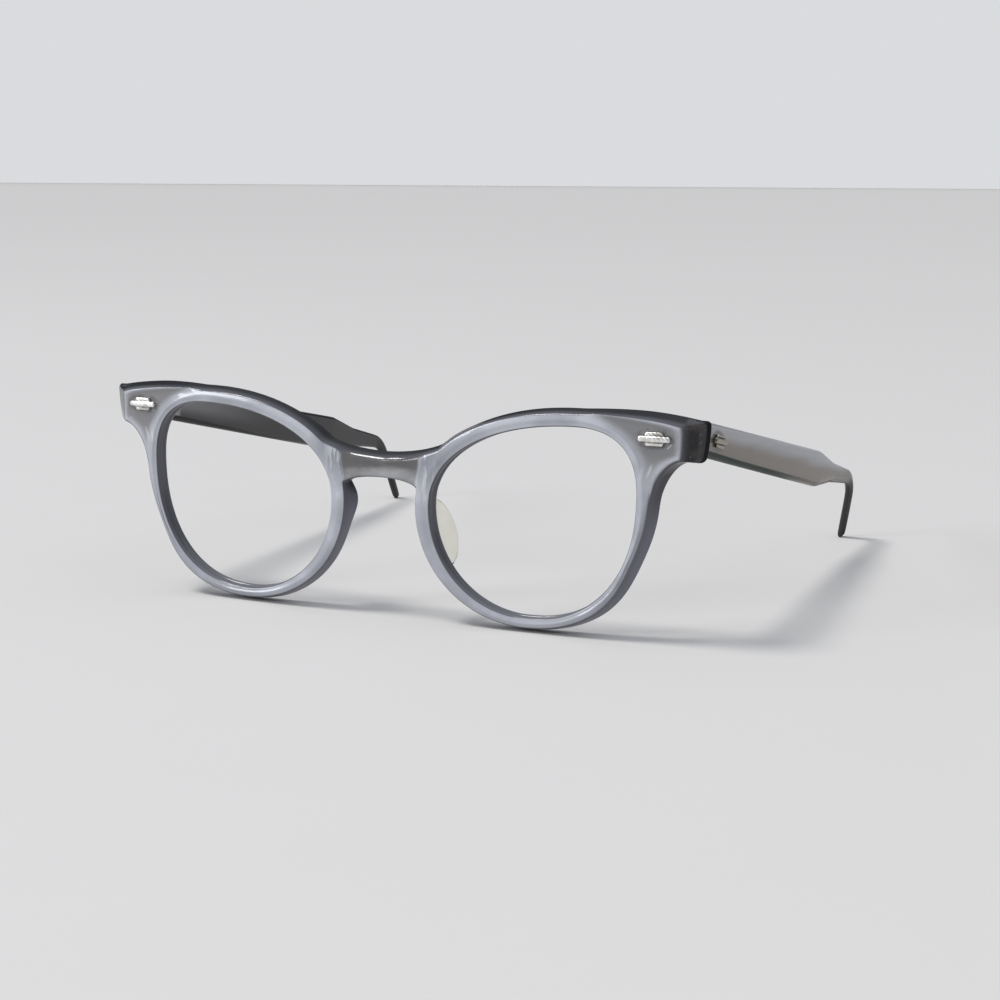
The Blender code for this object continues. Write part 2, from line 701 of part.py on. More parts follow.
def temple_outer_x(along):
    bend_start = BLADE_LENGTH + TAPER_LENGTH + NECK_LENGTH
    tip_run = EAR_BEND_RADIUS * EAR_BEND + EAR_TIP_LENGTH
    curl = max(along - bend_start, 0) / tip_run
    start = HINGE_X + KNUCKLE_RADIUS + TEMPLE_BESIDE + TEMPLE_THICKNESS
    return start + math.sin(BLADE_SPREAD) * along - EAR_TIP_INWARD * curl * curl


def temple_inner_x(along):
    return temple_outer_x(along) - temple_thickness(along)


# Rounded section of a temple: outward across its thickness, and up.
def temple_section(thickness, height):
    half = thickness / 2
    tall = height / 2
    roll = min(BLADE_CORNER_ROLL, half * 0.9, tall * 0.9)
    slant = roll * (1 - math.cos(math.pi / 4))
    quarter = [(half - roll, tall), (half - slant, tall - slant), (half, tall - roll)]
    upper = [(-across, up) for across, up in reversed(quarter)] + quarter
    lower = [(across, -up) for across, up in reversed(upper)]
    return upper + [(half + TEMPLE_CROWN, 0)] + lower


def build_temple(side, finish, hinge, origin):
    taper_end = BLADE_LENGTH + TAPER_LENGTH
    neck_end = taper_end + NECK_LENGTH
    bend_length = EAR_BEND_RADIUS * EAR_BEND
    tip_end = neck_end + bend_length + EAR_TIP_LENGTH
    edge = BLADE_CORNER_ROLL / 2
    tip_round = EAR_TIP_WIDTH / 2
    stations = [(0, TEMPLE_FRONT_HEIGHT, edge)]
    stations.append((edge, TEMPLE_FRONT_HEIGHT, 0))
    runs = [
        (0, BLADE_LENGTH, TEMPLE_FRONT_HEIGHT, BLADE_END_HEIGHT, BLADE_STEPS),
        (BLADE_LENGTH, TAPER_LENGTH, BLADE_END_HEIGHT, TAPER_HEIGHT, TAPER_STEPS),
        (taper_end, NECK_LENGTH, TAPER_HEIGHT, NECK_HEIGHT, TAPER_STEPS),
        (neck_end, bend_length, NECK_HEIGHT, EAR_TIP_WIDTH, BEND_STEPS),
    ]
    for start, length, first_height, last_height, steps in runs:
        for step in range(1, steps + 1):
            share = step / steps
            stations.append((start + length * share, mix(first_height, last_height, share), 0))
    for step in range(TIP_STEPS):
        turned = step / TIP_STEPS * math.pi / 2
        along = tip_end - tip_round * (1 - math.sin(turned))
        stations.append((along, EAR_TIP_WIDTH, tip_round * (1 - math.cos(turned))))

    shape = bmesh.new()
    rows = []
    for along, height, shrink in stations:
        middle, fall = temple_path(along)
        if along == 0:
            fall = 0
        centre = temple_outer_x(along) - temple_thickness(along) / 2
        thickness = temple_thickness(along) - 2 * min(shrink, TIP_THINNING)
        row = []
        for across, up in temple_section(thickness, height - 2 * shrink):
            spot = Vector((side * (centre + across), middle.x + up * math.sin(fall),
                           middle.y + up * math.cos(fall)))
            row.append(shape.verts.new(spot))
        rows.append(row)
    join_rows(shape, rows)
    temple = make_piece("temple_" + SIDE_NAMES[side], shape, finish, hinge, origin)
    drill_pin_holes(temple, temple_plaque_place(side), temple_pin_length(), hinge, origin)


# Skins a run of closed sections and fills both ends.
def join_rows(shape, rows):
    for row, after in zip(rows, rows[1:]):
        for index in range(len(row)):
            beyond = (index + 1) % len(row)
            shape.faces.new((row[index], row[beyond], after[beyond], after[index]))
    shape.faces.new(rows[0])
    shape.faces.new(rows[-1])


# A pad that stands back from the nasal side of the rim, with a round edge, flared towards the lens.
def build_pad(side, finish, root):
    top = turn_where(lambda turn: rim_outer_point(turn).y, PAD_TOP, *NOSE_STRETCH)
    bottom = turn_where(lambda turn: rim_outer_point(turn).y, PAD_BOTTOM, *NOSE_STRETCH)
    shape = bmesh.new()
    rows = []
    for step in range(PAD_STEPS + 1):
        share = step / PAD_STEPS
        turn = mix(top, bottom, share)
        reach = mix(PAD_END_DEPTH, PAD_DEPTH, math.sin(math.pi * share) ** PAD_FULLNESS)
        flare = PAD_FLARE * reach / PAD_DEPTH
        middle = opening_point(turn) + rim_outward(turn) * rim_width(turn) / 2
        outward = rim_outward(turn)
        row = []
        foot = PAD_FOOT_WIDTH / 2
        lip = PAD_EDGE_WIDTH / 2
        outline = [
            (foot, 0),
            (mix(foot, lip - flare, PAD_WAIST), reach * PAD_WAIST),
            (lip - flare, reach * PAD_LIP),
            (-flare, reach),
            (-lip - flare, reach * PAD_LIP),
            (mix(-foot, -lip - flare, PAD_WAIST), reach * PAD_WAIST),
            (-foot, 0),
        ]
        for across, depth in outline:
            spot = middle + outward * across
            row.append(shape.verts.new((side * spot.x, bow(spot.x) + RIM_DEPTH + SEAT_GAP + depth, spot.y)))
        rows.append(row)
    join_rows(shape, rows)
    make_piece("nose_pad_" + SIDE_NAMES[side], shape, finish, root)


# Moves the root so that the middle of the model's underside is at the origin.
def stand_on_origin(root):
    bpy.context.view_layer.update()
    graph = bpy.context.evaluated_depsgraph_get()
    corners = []
    for item in bpy.data.objects:
        if item.type == "MESH" and not item.hide_render:
            solid = item.evaluated_get(graph)
            corners += [solid.matrix_world @ Vector(corner) for corner in solid.bound_box]
    low = Vector([min(corner[axis] for corner in corners) for axis in range(3)])
    high = Vector([max(corner[axis] for corner in corners) for axis in range(3)])
    root.location = Vector((-(low.x + high.x) / 2, -(low.y + high.y) / 2, -low.z))
    print("size", [round(size, 5) for size in high - low], "root", [round(part, 6) for part in root.location])


def build_frame():
    clear_scene()
    acetate = make_finish("smoke_acetate", (0.16, 0.17, 0.20), 0.12, 0.0, 0.2)
    clear = make_finish("clear_pad", (0.80, 0.79, 0.70), 0.15, 0.0, 0.8)
    silver = make_finish("plaque_silver", (0.78, 0.76, 0.72), 0.3, 1.0)
    steel = make_finish("hinge_steel", (0.55, 0.54, 0.52), 0.35, 1.0)
    root = make_empty("frame_root", None, (0, 0, 0))
    build_front(root, acetate)
    for side in (LEFT, RIGHT):
        name = SIDE_NAMES[side]
        origin = Vector((side * HINGE_X, HINGE_Y, HINGE_RISE))
        hinge = make_empty("hinge_axis_" + name, root, origin)
        build_pad(side, clear, root)
        build_plaque("front_plaque_" + name, front_plaque_place(side), front_pin_length(), silver, root)
        build_front_leaf(side, steel, root)
        build_screw(side, steel, root)
        build_temple(side, acetate, hinge, origin)
        build_temple_leaf(side, steel, hinge, origin)
        build_plaque("temple_plaque_" + name, temple_plaque_place(side), temple_pin_length(), silver, hinge,
                     origin)
    stand_on_origin(root)


build_frame()
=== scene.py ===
import json
import math

import bmesh
import bpy
from mathutils import Matrix, Vector


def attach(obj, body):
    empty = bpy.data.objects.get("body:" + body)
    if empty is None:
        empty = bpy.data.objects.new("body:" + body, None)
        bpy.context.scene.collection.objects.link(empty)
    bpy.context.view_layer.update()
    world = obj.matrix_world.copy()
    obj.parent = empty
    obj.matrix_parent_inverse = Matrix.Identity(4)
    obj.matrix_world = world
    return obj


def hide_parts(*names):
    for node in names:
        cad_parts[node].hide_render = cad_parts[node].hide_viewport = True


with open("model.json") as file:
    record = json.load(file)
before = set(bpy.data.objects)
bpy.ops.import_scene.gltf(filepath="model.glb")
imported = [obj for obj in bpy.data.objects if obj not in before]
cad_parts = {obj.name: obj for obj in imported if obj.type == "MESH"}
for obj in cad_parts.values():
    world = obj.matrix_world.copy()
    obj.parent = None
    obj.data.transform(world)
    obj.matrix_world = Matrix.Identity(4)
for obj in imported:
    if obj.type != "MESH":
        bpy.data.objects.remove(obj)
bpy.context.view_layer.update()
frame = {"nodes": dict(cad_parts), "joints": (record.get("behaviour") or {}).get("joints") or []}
print("frame loaded")

cameraSetup = {
    "place": (0.184543, -0.407020, 0.092792),
    "turn": (80.027, -0.3638, 24.7126),
    "lens": 70.2047, "sensor": 36, "nearest": 0.01, "farthest": 50,
}

# where the left hinge stands about the middle of the bridge, and in the room
hingeSetup = {"side": 0.0605, "behind": 0.0105, "rise": 0.0170}
hingeInRoom = Vector(frame["joints"][0]["pos_m"])
frontPlace = hingeInRoom - Vector((hingeSetup["side"], hingeSetup["behind"], hingeSetup["rise"]))


def addCamera():
    lookThrough = bpy.data.objects.new("camera", bpy.data.cameras.new("camera"))
    bpy.context.scene.collection.objects.link(lookThrough)
    lookThrough.location = cameraSetup["place"]
    lookThrough.rotation_euler = [math.radians(angle) for angle in cameraSetup["turn"]]
    lookThrough.data.lens = cameraSetup["lens"]
    lookThrough.data.sensor_width = cameraSetup["sensor"]
    lookThrough.data.clip_start = cameraSetup["nearest"]
    lookThrough.data.clip_end = cameraSetup["farthest"]
    bpy.context.scene.camera = lookThrough


addCamera()
print("camera set")


# modelling helpers

weldDistance = 0.000002  # corners closer than this become one


def deselectAll():
    if bpy.context.object and bpy.context.object.mode != "OBJECT":
        bpy.ops.object.mode_set(mode="OBJECT")
    bpy.ops.object.select_all(action="DESELECT")


def mix(start, end, share):
    return start + (end - start) * share


def spread(start, end, steps):
    return [mix(start, end, step / steps) for step in range(steps)]


# a curve from start to end, drawn towards one pull point
def drawnCurve(start, pull, end, share):
    return mix(mix(start, pull, share), mix(pull, end, share), share)


# a ring of corners, each numbered by its station, ready to be extruded in edit mode
def startRing(name, count, place):
    deselectAll()
    bpy.ops.mesh.primitive_circle_add(vertices=count, radius=0.01, fill_type="NOTHING", enter_editmode=True)
    piece = bpy.context.object
    piece.name = name
    piece.data.name = name
    bpy.ops.mesh.select_mode(type="EDGE")
    cage = bmesh.from_edit_mesh(piece.data)
    cage.verts.layers.int.new("station")
    cage.verts.layers.int.new("ring")
    stationOf = cage.verts.layers.int["station"]
    for index, corner in enumerate(cage.verts):
        corner[stationOf] = index
        corner.co = place(index, 0)
    bmesh.update_edit_mesh(piece.data)
    bpy.ops.mesh.select_all(action="SELECT")
    return piece


# extrudes what is selected and puts each new corner in its place
def growRing(piece, ring, place):
    bpy.ops.mesh.extrude_region()
    cage = bmesh.from_edit_mesh(piece.data)
    stationOf = cage.verts.layers.int["station"]
    ringOf = cage.verts.layers.int["ring"]
    for corner in cage.verts:
        if corner.select:
            corner[ringOf] = ring
            corner.co = place(corner[stationOf], ring)
    bmesh.update_edit_mesh(piece.data)


# picks the wall between the given rings over a run of stations, and extrudes it column by column
def growWeb(piece, rings, stations, columns):
    bpy.ops.mesh.select_mode(type="FACE")
    bpy.ops.mesh.select_all(action="DESELECT")
    cage = bmesh.from_edit_mesh(piece.data)
    stationOf = cage.verts.layers.int["station"]
    ringOf = cage.verts.layers.int["ring"]
    for face in cage.faces:
        onRings = all(corner[ringOf] in rings for corner in face.verts)
        if onRings and all(corner[stationOf] in stations for corner in face.verts):
            face.select = True
    bmesh.update_edit_mesh(piece.data)
    for column in columns:
        bpy.ops.mesh.extrude_region()
        cage = bmesh.from_edit_mesh(piece.data)
        stationOf = cage.verts.layers.int["station"]
        ringOf = cage.verts.layers.int["ring"]
        panelOf = cage.verts.layers.float["panel"]
        for corner in cage.verts:
            if corner.select:
                places = column[corner[stationOf]]
                corner.co = places[corner[ringOf]]
                corner[panelOf] = places["panel"] if corner[ringOf] == rings[0] else 0
        bmesh.update_edit_mesh(piece.data)


# sharpens the edges that both lie on the given rings
def creaseRings(piece, amounts):
    cage = bmesh.from_edit_mesh(piece.data)
    creaseOf = cage.edges.layers.float.get("crease_edge") or cage.edges.layers.float.new("crease_edge")
    ringOf = cage.verts.layers.int["ring"]
    for edge in cage.edges:
        first, second = (corner[ringOf] for corner in edge.verts)
        if first == second and first in amounts:
            edge[creaseOf] = amounts[first]
    bmesh.update_edit_mesh(piece.data)


def mergeAndTurnOut():
    bpy.ops.mesh.select_all(action="SELECT")
    bpy.ops.mesh.remove_doubles(threshold=weldDistance)
    bpy.ops.mesh.normals_make_consistent(inside=False)


# a closed piece through the given sections, capped at both ends
def growThrough(name, sections):
    def place(corner, ring):
        return sections[ring][corner]

    piece = startRing(name, len(sections[0]), place)
    bpy.ops.mesh.edge_face_add()
    bpy.ops.mesh.select_all(action="DESELECT")
    bpy.ops.mesh.select_mode(type="EDGE")
    bpy.ops.mesh.select_non_manifold()
    for ring in range(1, len(sections)):
        growRing(piece, ring, place)
    bpy.ops.mesh.edge_face_add()
    mergeAndTurnOut()
    return piece


def applyAll(piece):
    deselectAll()
    piece.select_set(True)
    bpy.context.view_layer.objects.active = piece
    for step in list(piece.modifiers):
        bpy.ops.object.modifier_apply(modifier=step.name)


def smoothPiece(piece, levels):
    bpy.ops.object.mode_set(mode="OBJECT")
    rounding = piece.modifiers.new("rounding", "SUBSURF")
    rounding.levels = levels
    rounding.render_levels = levels
    applyAll(piece)
    bpy.ops.object.shade_smooth()
    for name in ("station", "ring"):
        if name in piece.data.attributes:
            piece.data.attributes.remove(piece.data.attributes[name])


def finishPiece(piece, body, nodes, finish):
    piece.data.materials.clear()
    piece.data.materials.append(finish)
    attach(piece, body)
    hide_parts(*nodes)


# shader helper: one socket whose sums read as plain Python
class Wire:
    def __init__(self, tree, socket=None):
        self.tree = tree
        self.socket = socket

    def node(self, kind, settings=None, inputs=None, output=0):
        made = self.tree.nodes.new(kind)
        for name, value in (settings or {}).items():
            setattr(made, name, value)
        for name, value in (inputs or {}).items():
            if isinstance(value, Wire):
                self.tree.links.new(value.socket, made.inputs[name])
            else:
                made.inputs[name].default_value = value
        return Wire(self.tree, made.outputs[output])

    def sums(self, operation, first, second=0.0):
        return self.node("ShaderNodeMath", {"operation": operation}, {0: first, 1: second})

    def __add__(self, other):
        return self.sums("ADD", self, other)

    def __radd__(self, other):
        return self.sums("ADD", other, self)

    def __sub__(self, other):
        return self.sums("SUBTRACT", self, other)

    def __rsub__(self, other):
        return self.sums("SUBTRACT", other, self)

    def __mul__(self, other):
        return self.sums("MULTIPLY", self, other)

    def __rmul__(self, other):
        return self.sums("MULTIPLY", other, self)

    def __truediv__(self, other):
        return self.sums("DIVIDE", self, other)

    def __neg__(self):
        return self.sums("MULTIPLY", self, -1.0)

    def __abs__(self):
        return self.sums("ABSOLUTE", self)

    def most(self, other):
        return self.sums("MAXIMUM", self, other)

    # 0 below low, 1 above high, smooth between
    def ease(self, low, high):
        return self.node("ShaderNodeMapRange", {"interpolation_type": "SMOOTHSTEP"},
                         {"Value": self, "From Min": low, "From Max": high})

    # from one colour to another as this value goes from 0 to 1
    def tint(self, low, high):
        return self.node("ShaderNodeMix", {"data_type": "RGBA"}, {0: self, 6: low, 7: high}, 2)

    def axis(self, number):
        return self.node("ShaderNodeSeparateXYZ", {}, {0: self}, number)

    def noise(self, scale, detail=3.0, stretch=(1, 1, 1), turn=(0, 0, 0)):
        stretched = self.node("ShaderNodeMapping", {}, {"Vector": self, "Scale": stretch, "Rotation": turn})
        return self.node("ShaderNodeTexNoise", {}, {"Vector": stretched, "Scale": scale, "Detail": detail})


def rgb(red, green, blue):
    return (red, green, blue, 1.0)


def newFinish(name, constants):
    finish = bpy.data.materials.new(name)
    finish.use_nodes = True
    shader = finish.node_tree.nodes["Principled BSDF"]
    for socket, value in constants.items():
        shader.inputs[socket].default_value = value
    start = Wire(finish.node_tree)
    place = start.node("ShaderNodeTexCoord", {}, {}, "Object")
    return finish, shader, start, place


def plug(shader, socket, wire):
    wire.tree.links.new(wire.socket, shader.inputs[socket])


def plugBump(shader, height, strength, distance):
    bump = height.node("ShaderNodeBump", {}, {"Strength": strength, "Distance": distance, "Height": height})
    plug(shader, "Normal", bump)


# lays another shader over a finish by the given amount
def layOver(finish, shader, amount, other):
    under = Wire(other.tree, shader.outputs[0])
    both = other.node("ShaderNodeMixShader", {}, {0: amount, 1: under, 2: other})
    finish.node_tree.links.new(both.socket, finish.node_tree.nodes["Material Output"].inputs["Surface"])


acetateLook = {
    # the face colours are painted as lit, against the painted shade of the walls
    "face": rgb(0.500, 0.515, 0.560),
    "faceDim": rgb(0.375, 0.388, 0.426),
    # painted shade on the faces, low down, on rolled edges and beside the bridge
    "faceLow": rgb(0.190, 0.200, 0.235),
    # the end panel and bridge colours are painted shade in the sunken panels, and the bridge's spot colour is a painted
    # highlight
    "endPanel": rgb(0.225, 0.224, 0.230),
    "bridge": rgb(0.122, 0.118, 0.119),
    "bridgeSpot": rgb(0.330, 0.330, 0.340),
    # pale haze and chips; the same colour paints highlights on the ridges and glints on the slanted end
    "haze": rgb(0.66, 0.67, 0.69),
    # the wall colours below are painted light and shade, chosen by which way a surface faces
    "wall": rgb(0.048, 0.047, 0.055),
    "wallLow": rgb(0.170, 0.172, 0.210),
    "back": rgb(0.180, 0.184, 0.212),
    "deep": rgb(0.012, 0.012, 0.014),
    "inside": rgb(0.130, 0.132, 0.150),
    "facet": rgb(0.009, 0.008, 0.009),
    # a painted highlight on the slanted end
    "facetGlow": rgb(0.070, 0.073, 0.086),
    # the grime colour also paints shade round the plaques
    "grime": rgb(0.045, 0.040, 0.034),
    # the temple's upper and lower colours are partly a painted reflection
    "templeUpper": rgb(0.350, 0.362, 0.390),
    "templeLower": rgb(0.130, 0.102, 0.078),
    # the temple's inner colours are painted shade on its inner side
    "templeInner": rgb(0.240, 0.240, 0.250),
    "templeInnerLow": rgb(0.040, 0.039, 0.041),
    "bevel": rgb(0.022, 0.036, 0.030),
    "tip": rgb(0.030, 0.029, 0.028),
    "facetSpot": rgb(0.045, 0.036, 0.034),
    "shine": {"IOR": 1.49, "Specular IOR Level": 0.42},
    "dull": {"Roughness": 0.45, "Specular IOR Level": 0.08},
}

# fine scratches and dust, and uneven polish: how fine, where they begin, how much they dull and how high they stand
polishSetup = {
    "roughness": 0.09, "smear": (130.0, 4.0), "smearDull": 0.08, "waves": (280.0, 1.0),
    "scratchUp": (700.0, 2.0, (1.0, 1.0, 0.05), (0.2, 0.5, 0)), "scratchUpFrom": (0.62, 0.74),
    "scratchAcross": (760.0, 2.0, (0.05, 1.0, 1.0), (0, 0.35, 0.2)), "scratchAcrossFrom": (0.64, 0.76),
    "scratchDull": 0.10, "scratchHeight": -0.03,
    "speck": (1500.0, 1.0), "speckFrom": (0.72, 0.80), "speckDull": 0.2, "speckHeight": 0.06,
    "bump": 0.08, "bumpHeight": 0.0001,
}


def acetateSurface(shader, place, waves):
    setup = polishSetup
    smear = place.noise(*setup["smear"])
    scratch = place.noise(*setup["scratchUp"]).ease(*setup["scratchUpFrom"])
    scratch = scratch.most(place.noise(*setup["scratchAcross"]).ease(*setup["scratchAcrossFrom"]))
    speck = place.noise(*setup["speck"]).ease(*setup["speckFrom"])
    dulled = smear * setup["smearDull"] + scratch * setup["scratchDull"] + speck * setup["speckDull"]
    plug(shader, "Roughness", setup["roughness"] + dulled)
    height = place.noise(*setup["waves"]) * waves
    height = height + scratch * setup["scratchHeight"] + speck * setup["speckHeight"]
    plugBump(shader, height, setup["bump"], setup["bumpHeight"])


# sawn and worn edges shine less: a dull copy of the colour is laid over by the given amount
def dullWhere(finish, shader, colour, amount):
    dull = colour.node("ShaderNodeBsdfPrincipled", {}, {"Base Color": colour, **acetateLook["dull"]})
    layOver(finish, shader, amount, dull)


# where each tone of the front begins and ends, in metres from the middle of the bridge or in shares,
# and how far it covers what lies under it
frontTones = {
    "clouds": (0.32, 0.66), "low": (-0.0210, 0.0060), "lowCover": 0.22, "edges": (0.90, 0.975), "edgesCover": 0.40,
    "atEnd": (0.030, 0.040), "endPanel": (0.05, 0.85), "bridgePanel": (0.25, 0.75),
    "bridgeSpots": (0.40, 0.85), "bridgeNoise": 0.7, "bridgeLow": (0.0070, 0.0095), "bridgeLowCover": 0.35,
    "besideBridge": (0.0105, 0.0175), "besideRise": (0.0010, 0.0100), "besideCover": 0.65,
    "hazeFrom": (0.0080, 0.0092), "hazeTo": (0.0105, 0.0135), "hazeRise": (0.0005, 0.0030),
    "hazeStreaks": (0.47, 0.56), "hazeCover": 0.55,
    "dirt": (0.65, 1.25), "dirtSpots": (0.35, 0.6), "dirtCover": 0.5,
    "chipLength": (0.0007, 0.0011), "chipWidth": (0.00008, 0.00020), "chipCover": 0.7,
    "ridgeWidth": (0.00010, 0.00045), "ridgeLength": (0.0003, 0.0019), "ridgeCover": 0.45,
    "wall": (-0.0030, 0.0110), "back": (0.45, 0.85), "top": (0.15, 0.75), "inside": (0.1, 0.6),
    "nearFront": (0.0004, 0.0026), "nearFrontCover": 0.55, "face": (0.74, 0.96),
    "facet": (0.0630, 0.0642), "facetSpots": (0.45, 0.70), "facetEdge": (0.0002, 0.0018),
    "bandFrom": (0.0026, 0.0032), "bandTo": (0.0038, 0.0044), "bandCover": 0.4, "specks": (0.64, 0.74),
    "specksCover": 0.10, "rearSide": (0.0640, 0.0655), "rearDepth": (0.0062, 0.0066),
    "dull": (0.45, 0.75), "dullCover": 0.6, "facetShine": 0.4, "waves": 9.0,
}

# where the plaques sit, their dirt and painted shade, the chip beside the left one and the painted highlights of the
# ridges below them
wearAndPaintedLightSetup = {
    "plaqueX": 0.0582, "plaqueRise": 0.0176, "reach": 0.0041, "height": 0.0021, "chip": (0.0612, 0.0163),
    "ridges": ((0.0558, 0.0108, 0.1), (0.0573, 0.0113, 0.35)),
}


def makeFrontAcetate():
    tone = frontTones
    look = acetateLook
    finish, shader, start, place = newFinish("smokeAcetateFront", look["shine"])
    facing = start.node("ShaderNodeTexCoord", {}, {}, "Normal")
    panel = start.node("ShaderNodeAttribute", {"attribute_name": "panel"}, {}, "Fac")
    sideways = abs(place.axis(0))
    behind = place.axis(1) - frontPlace.y
    rise = place.axis(2) - frontPlace.z
    depth = behind - sideways * sideways / (2 * frontSize["bowRadius"])
    towardsFront = -facing.axis(1)

    # cloudy faces of the rims, greyer end panels and a darker mottled bridge, both painted shade in their sunken
    # panels, and a painted highlight low on the bridge
    clouds = place.noise(110.0, 3.0, (1.0, 0.5, 1.0))
    faceColour = clouds.ease(*tone["clouds"]).tint(look["faceDim"], look["face"])
    # painted shade: faces darker towards the bottom and where they roll away from the front
    low = 1.0 - rise.ease(*tone["low"])
    edges = 1.0 - towardsFront.ease(*tone["edges"])
    shaded = (low * tone["lowCover"]).most(edges * tone["edgesCover"])
    faceColour = shaded.tint(faceColour, look["faceLow"])
    atEnd = sideways.ease(*tone["atEnd"])
    faceColour = (panel * atEnd).ease(*tone["endPanel"]).tint(faceColour, look["endPanel"])
    # random mottle on the bridge, lifted low down as a painted highlight
    mottleAndHighlight = place.noise(260.0, 3.0, (0.6, 1.0, 1.4)) * tone["bridgeNoise"]
    mottleAndHighlight = mottleAndHighlight + (1.0 - rise.ease(*tone["bridgeLow"])) * tone["bridgeLowCover"]
    mottleAndHighlight = mottleAndHighlight.ease(*tone["bridgeSpots"]).tint(look["bridge"], look["bridgeSpot"])
    faceColour = (panel * (1.0 - atEnd)).ease(*tone["bridgePanel"]).tint(faceColour, mottleAndHighlight)

    # shade and haze beside the bridge
    beside = (1.0 - sideways.ease(*tone["besideBridge"])) * rise.ease(*tone["besideRise"]) * (1.0 - panel)
    faceColour = (beside * tone["besideCover"]).tint(faceColour, look["faceLow"])
    streaks = place.noise(1200.0, 3.0, (1.0, 0.4, 0.16), (0, 0.15, 0))
    hazy = sideways.ease(*tone["hazeFrom"]) * (1.0 - sideways.ease(*tone["hazeTo"]))
    hazy = hazy * rise.ease(*tone["hazeRise"]) * (1.0 - panel) * streaks.ease(*tone["hazeStreaks"])
    faceColour = (hazy * tone["hazeCover"]).tint(faceColour, look["haze"])

    # dirt and painted shade round the plaques, the chip, and painted highlights along the ridges
    across = (sideways - wearAndPaintedLightSetup["plaqueX"]) / wearAndPaintedLightSetup["reach"]
    up = (rise - wearAndPaintedLightSetup["plaqueRise"]) / wearAndPaintedLightSetup["height"]
    dirt = 1.0 - (across * across + up * up).ease(*tone["dirt"])
    dirt = dirt * place.noise(900.0, 2.0).ease(*tone["dirtSpots"])
    faceColour = (dirt * tone["dirtCover"]).tint(faceColour, look["grime"])
    chipX, chipRise = wearAndPaintedLightSetup["chip"]
    chipAcross = place.axis(0) - chipX
    chipUp = rise - chipRise
    chip = 1.0 - abs(chipAcross + chipUp).ease(*tone["chipLength"])
    chip = chip * (1.0 - abs(chipAcross - chipUp).ease(*tone["chipWidth"]))
    faceColour = (chip * tone["chipCover"]).tint(faceColour, look["haze"])
    # painted highlights along two ridges below each plaque, in the pale colour
    for ridgeX, ridgeRise, lean in wearAndPaintedLightSetup["ridges"]:
        above = rise - ridgeRise
        ridgeHighlight = 1.0 - abs(sideways - ridgeX - above * lean).ease(*tone["ridgeWidth"])
        ridgeHighlight = ridgeHighlight * (1.0 - abs(above).ease(*tone["ridgeLength"]))
        faceColour = (ridgeHighlight * tone["ridgeCover"]).tint(faceColour, look["haze"])

    # walls, painted light and shade: lighter below, dark along the top, even at the back, lighter near the front and on
    # the lens side
    wallColour = rise.ease(*tone["wall"]).tint(look["wallLow"], look["wall"])
    wallColour = facing.axis(1).ease(*tone["back"]).tint(wallColour, look["back"])
    wallColour = facing.axis(2).ease(*tone["top"]).tint(wallColour, look["deep"])
    nearFront = 1.0 - depth.ease(*tone["nearFront"])
    wallColour = (nearFront * tone["nearFrontCover"]).tint(wallColour, look["inside"])
    wallColour = (-panel).ease(*tone["inside"]).tint(wallColour, look["inside"])
    # surfaces facing the front take the face colour, the rest the wall colour: painted light and shade by which way a
    # surface faces
    colour = towardsFront.ease(*tone["face"]).tint(wallColour, faceColour)

    # the dark slanted end, with a painted highlight near its front edge, a painted lighter band behind it and pale
    # specks, partly painted glints
    dark = place.noise(260.0, 3.0).ease(*tone["facetSpots"]).tint(look["facet"], look["facetSpot"])
    highlightBand = depth.ease(*tone["bandFrom"]) * (1.0 - depth.ease(*tone["bandTo"])) * tone["bandCover"]
    dark = (1.0 - depth.ease(*tone["facetEdge"])).most(highlightBand).tint(dark, look["facetGlow"])
    specks = place.noise(1500.0, 1.0).ease(*tone["specks"])
    facet = sideways.ease(*tone["facet"])
    colour = facet.tint(colour, (specks * tone["specksCover"]).tint(dark, look["haze"]))
    # the rounded rear edge is painted near black as painted shade
    rearEdge = sideways.ease(*tone["rearSide"]) * behind.ease(*tone["rearDepth"])
    colour = rearEdge.tint(colour, look["deep"])
    plug(shader, "Base Color", colour)
    acetateSurface(shader, place, tone["waves"])
    dulled = (1.0 - towardsFront.ease(*tone["dull"])) * (tone["dullCover"] - facet * tone["facetShine"])
    dullWhere(finish, shader, colour, rearEdge.most(dulled))
    return finish


# the same for a temple, in metres along it from its front end and across it from its middle line
templeTones = {
    "upper": (-0.0006, 0.0026), "waver": 0.0015, "dirt": (0.7, 1.3), "dirtCover": 0.75,
    "bevelThins": (0.005, 0.085), "bevelEdge": (-0.0001, 0.0001), "bevelEnds": (0.060, 0.080),
    "bladeGrowth": 0.00085, "underside": (0.35, 0.60), "undersideEnds": (0.045, 0.085), "undersideFade": 0.7,
    "innerAcross": (-0.0028, 0.0008), "innerAlong": (0.010, 0.060), "inner": (0.1, 0.6), "innerDull": 0.3,
    "tip": (0.102, 0.118), "waves": 1.0,
}


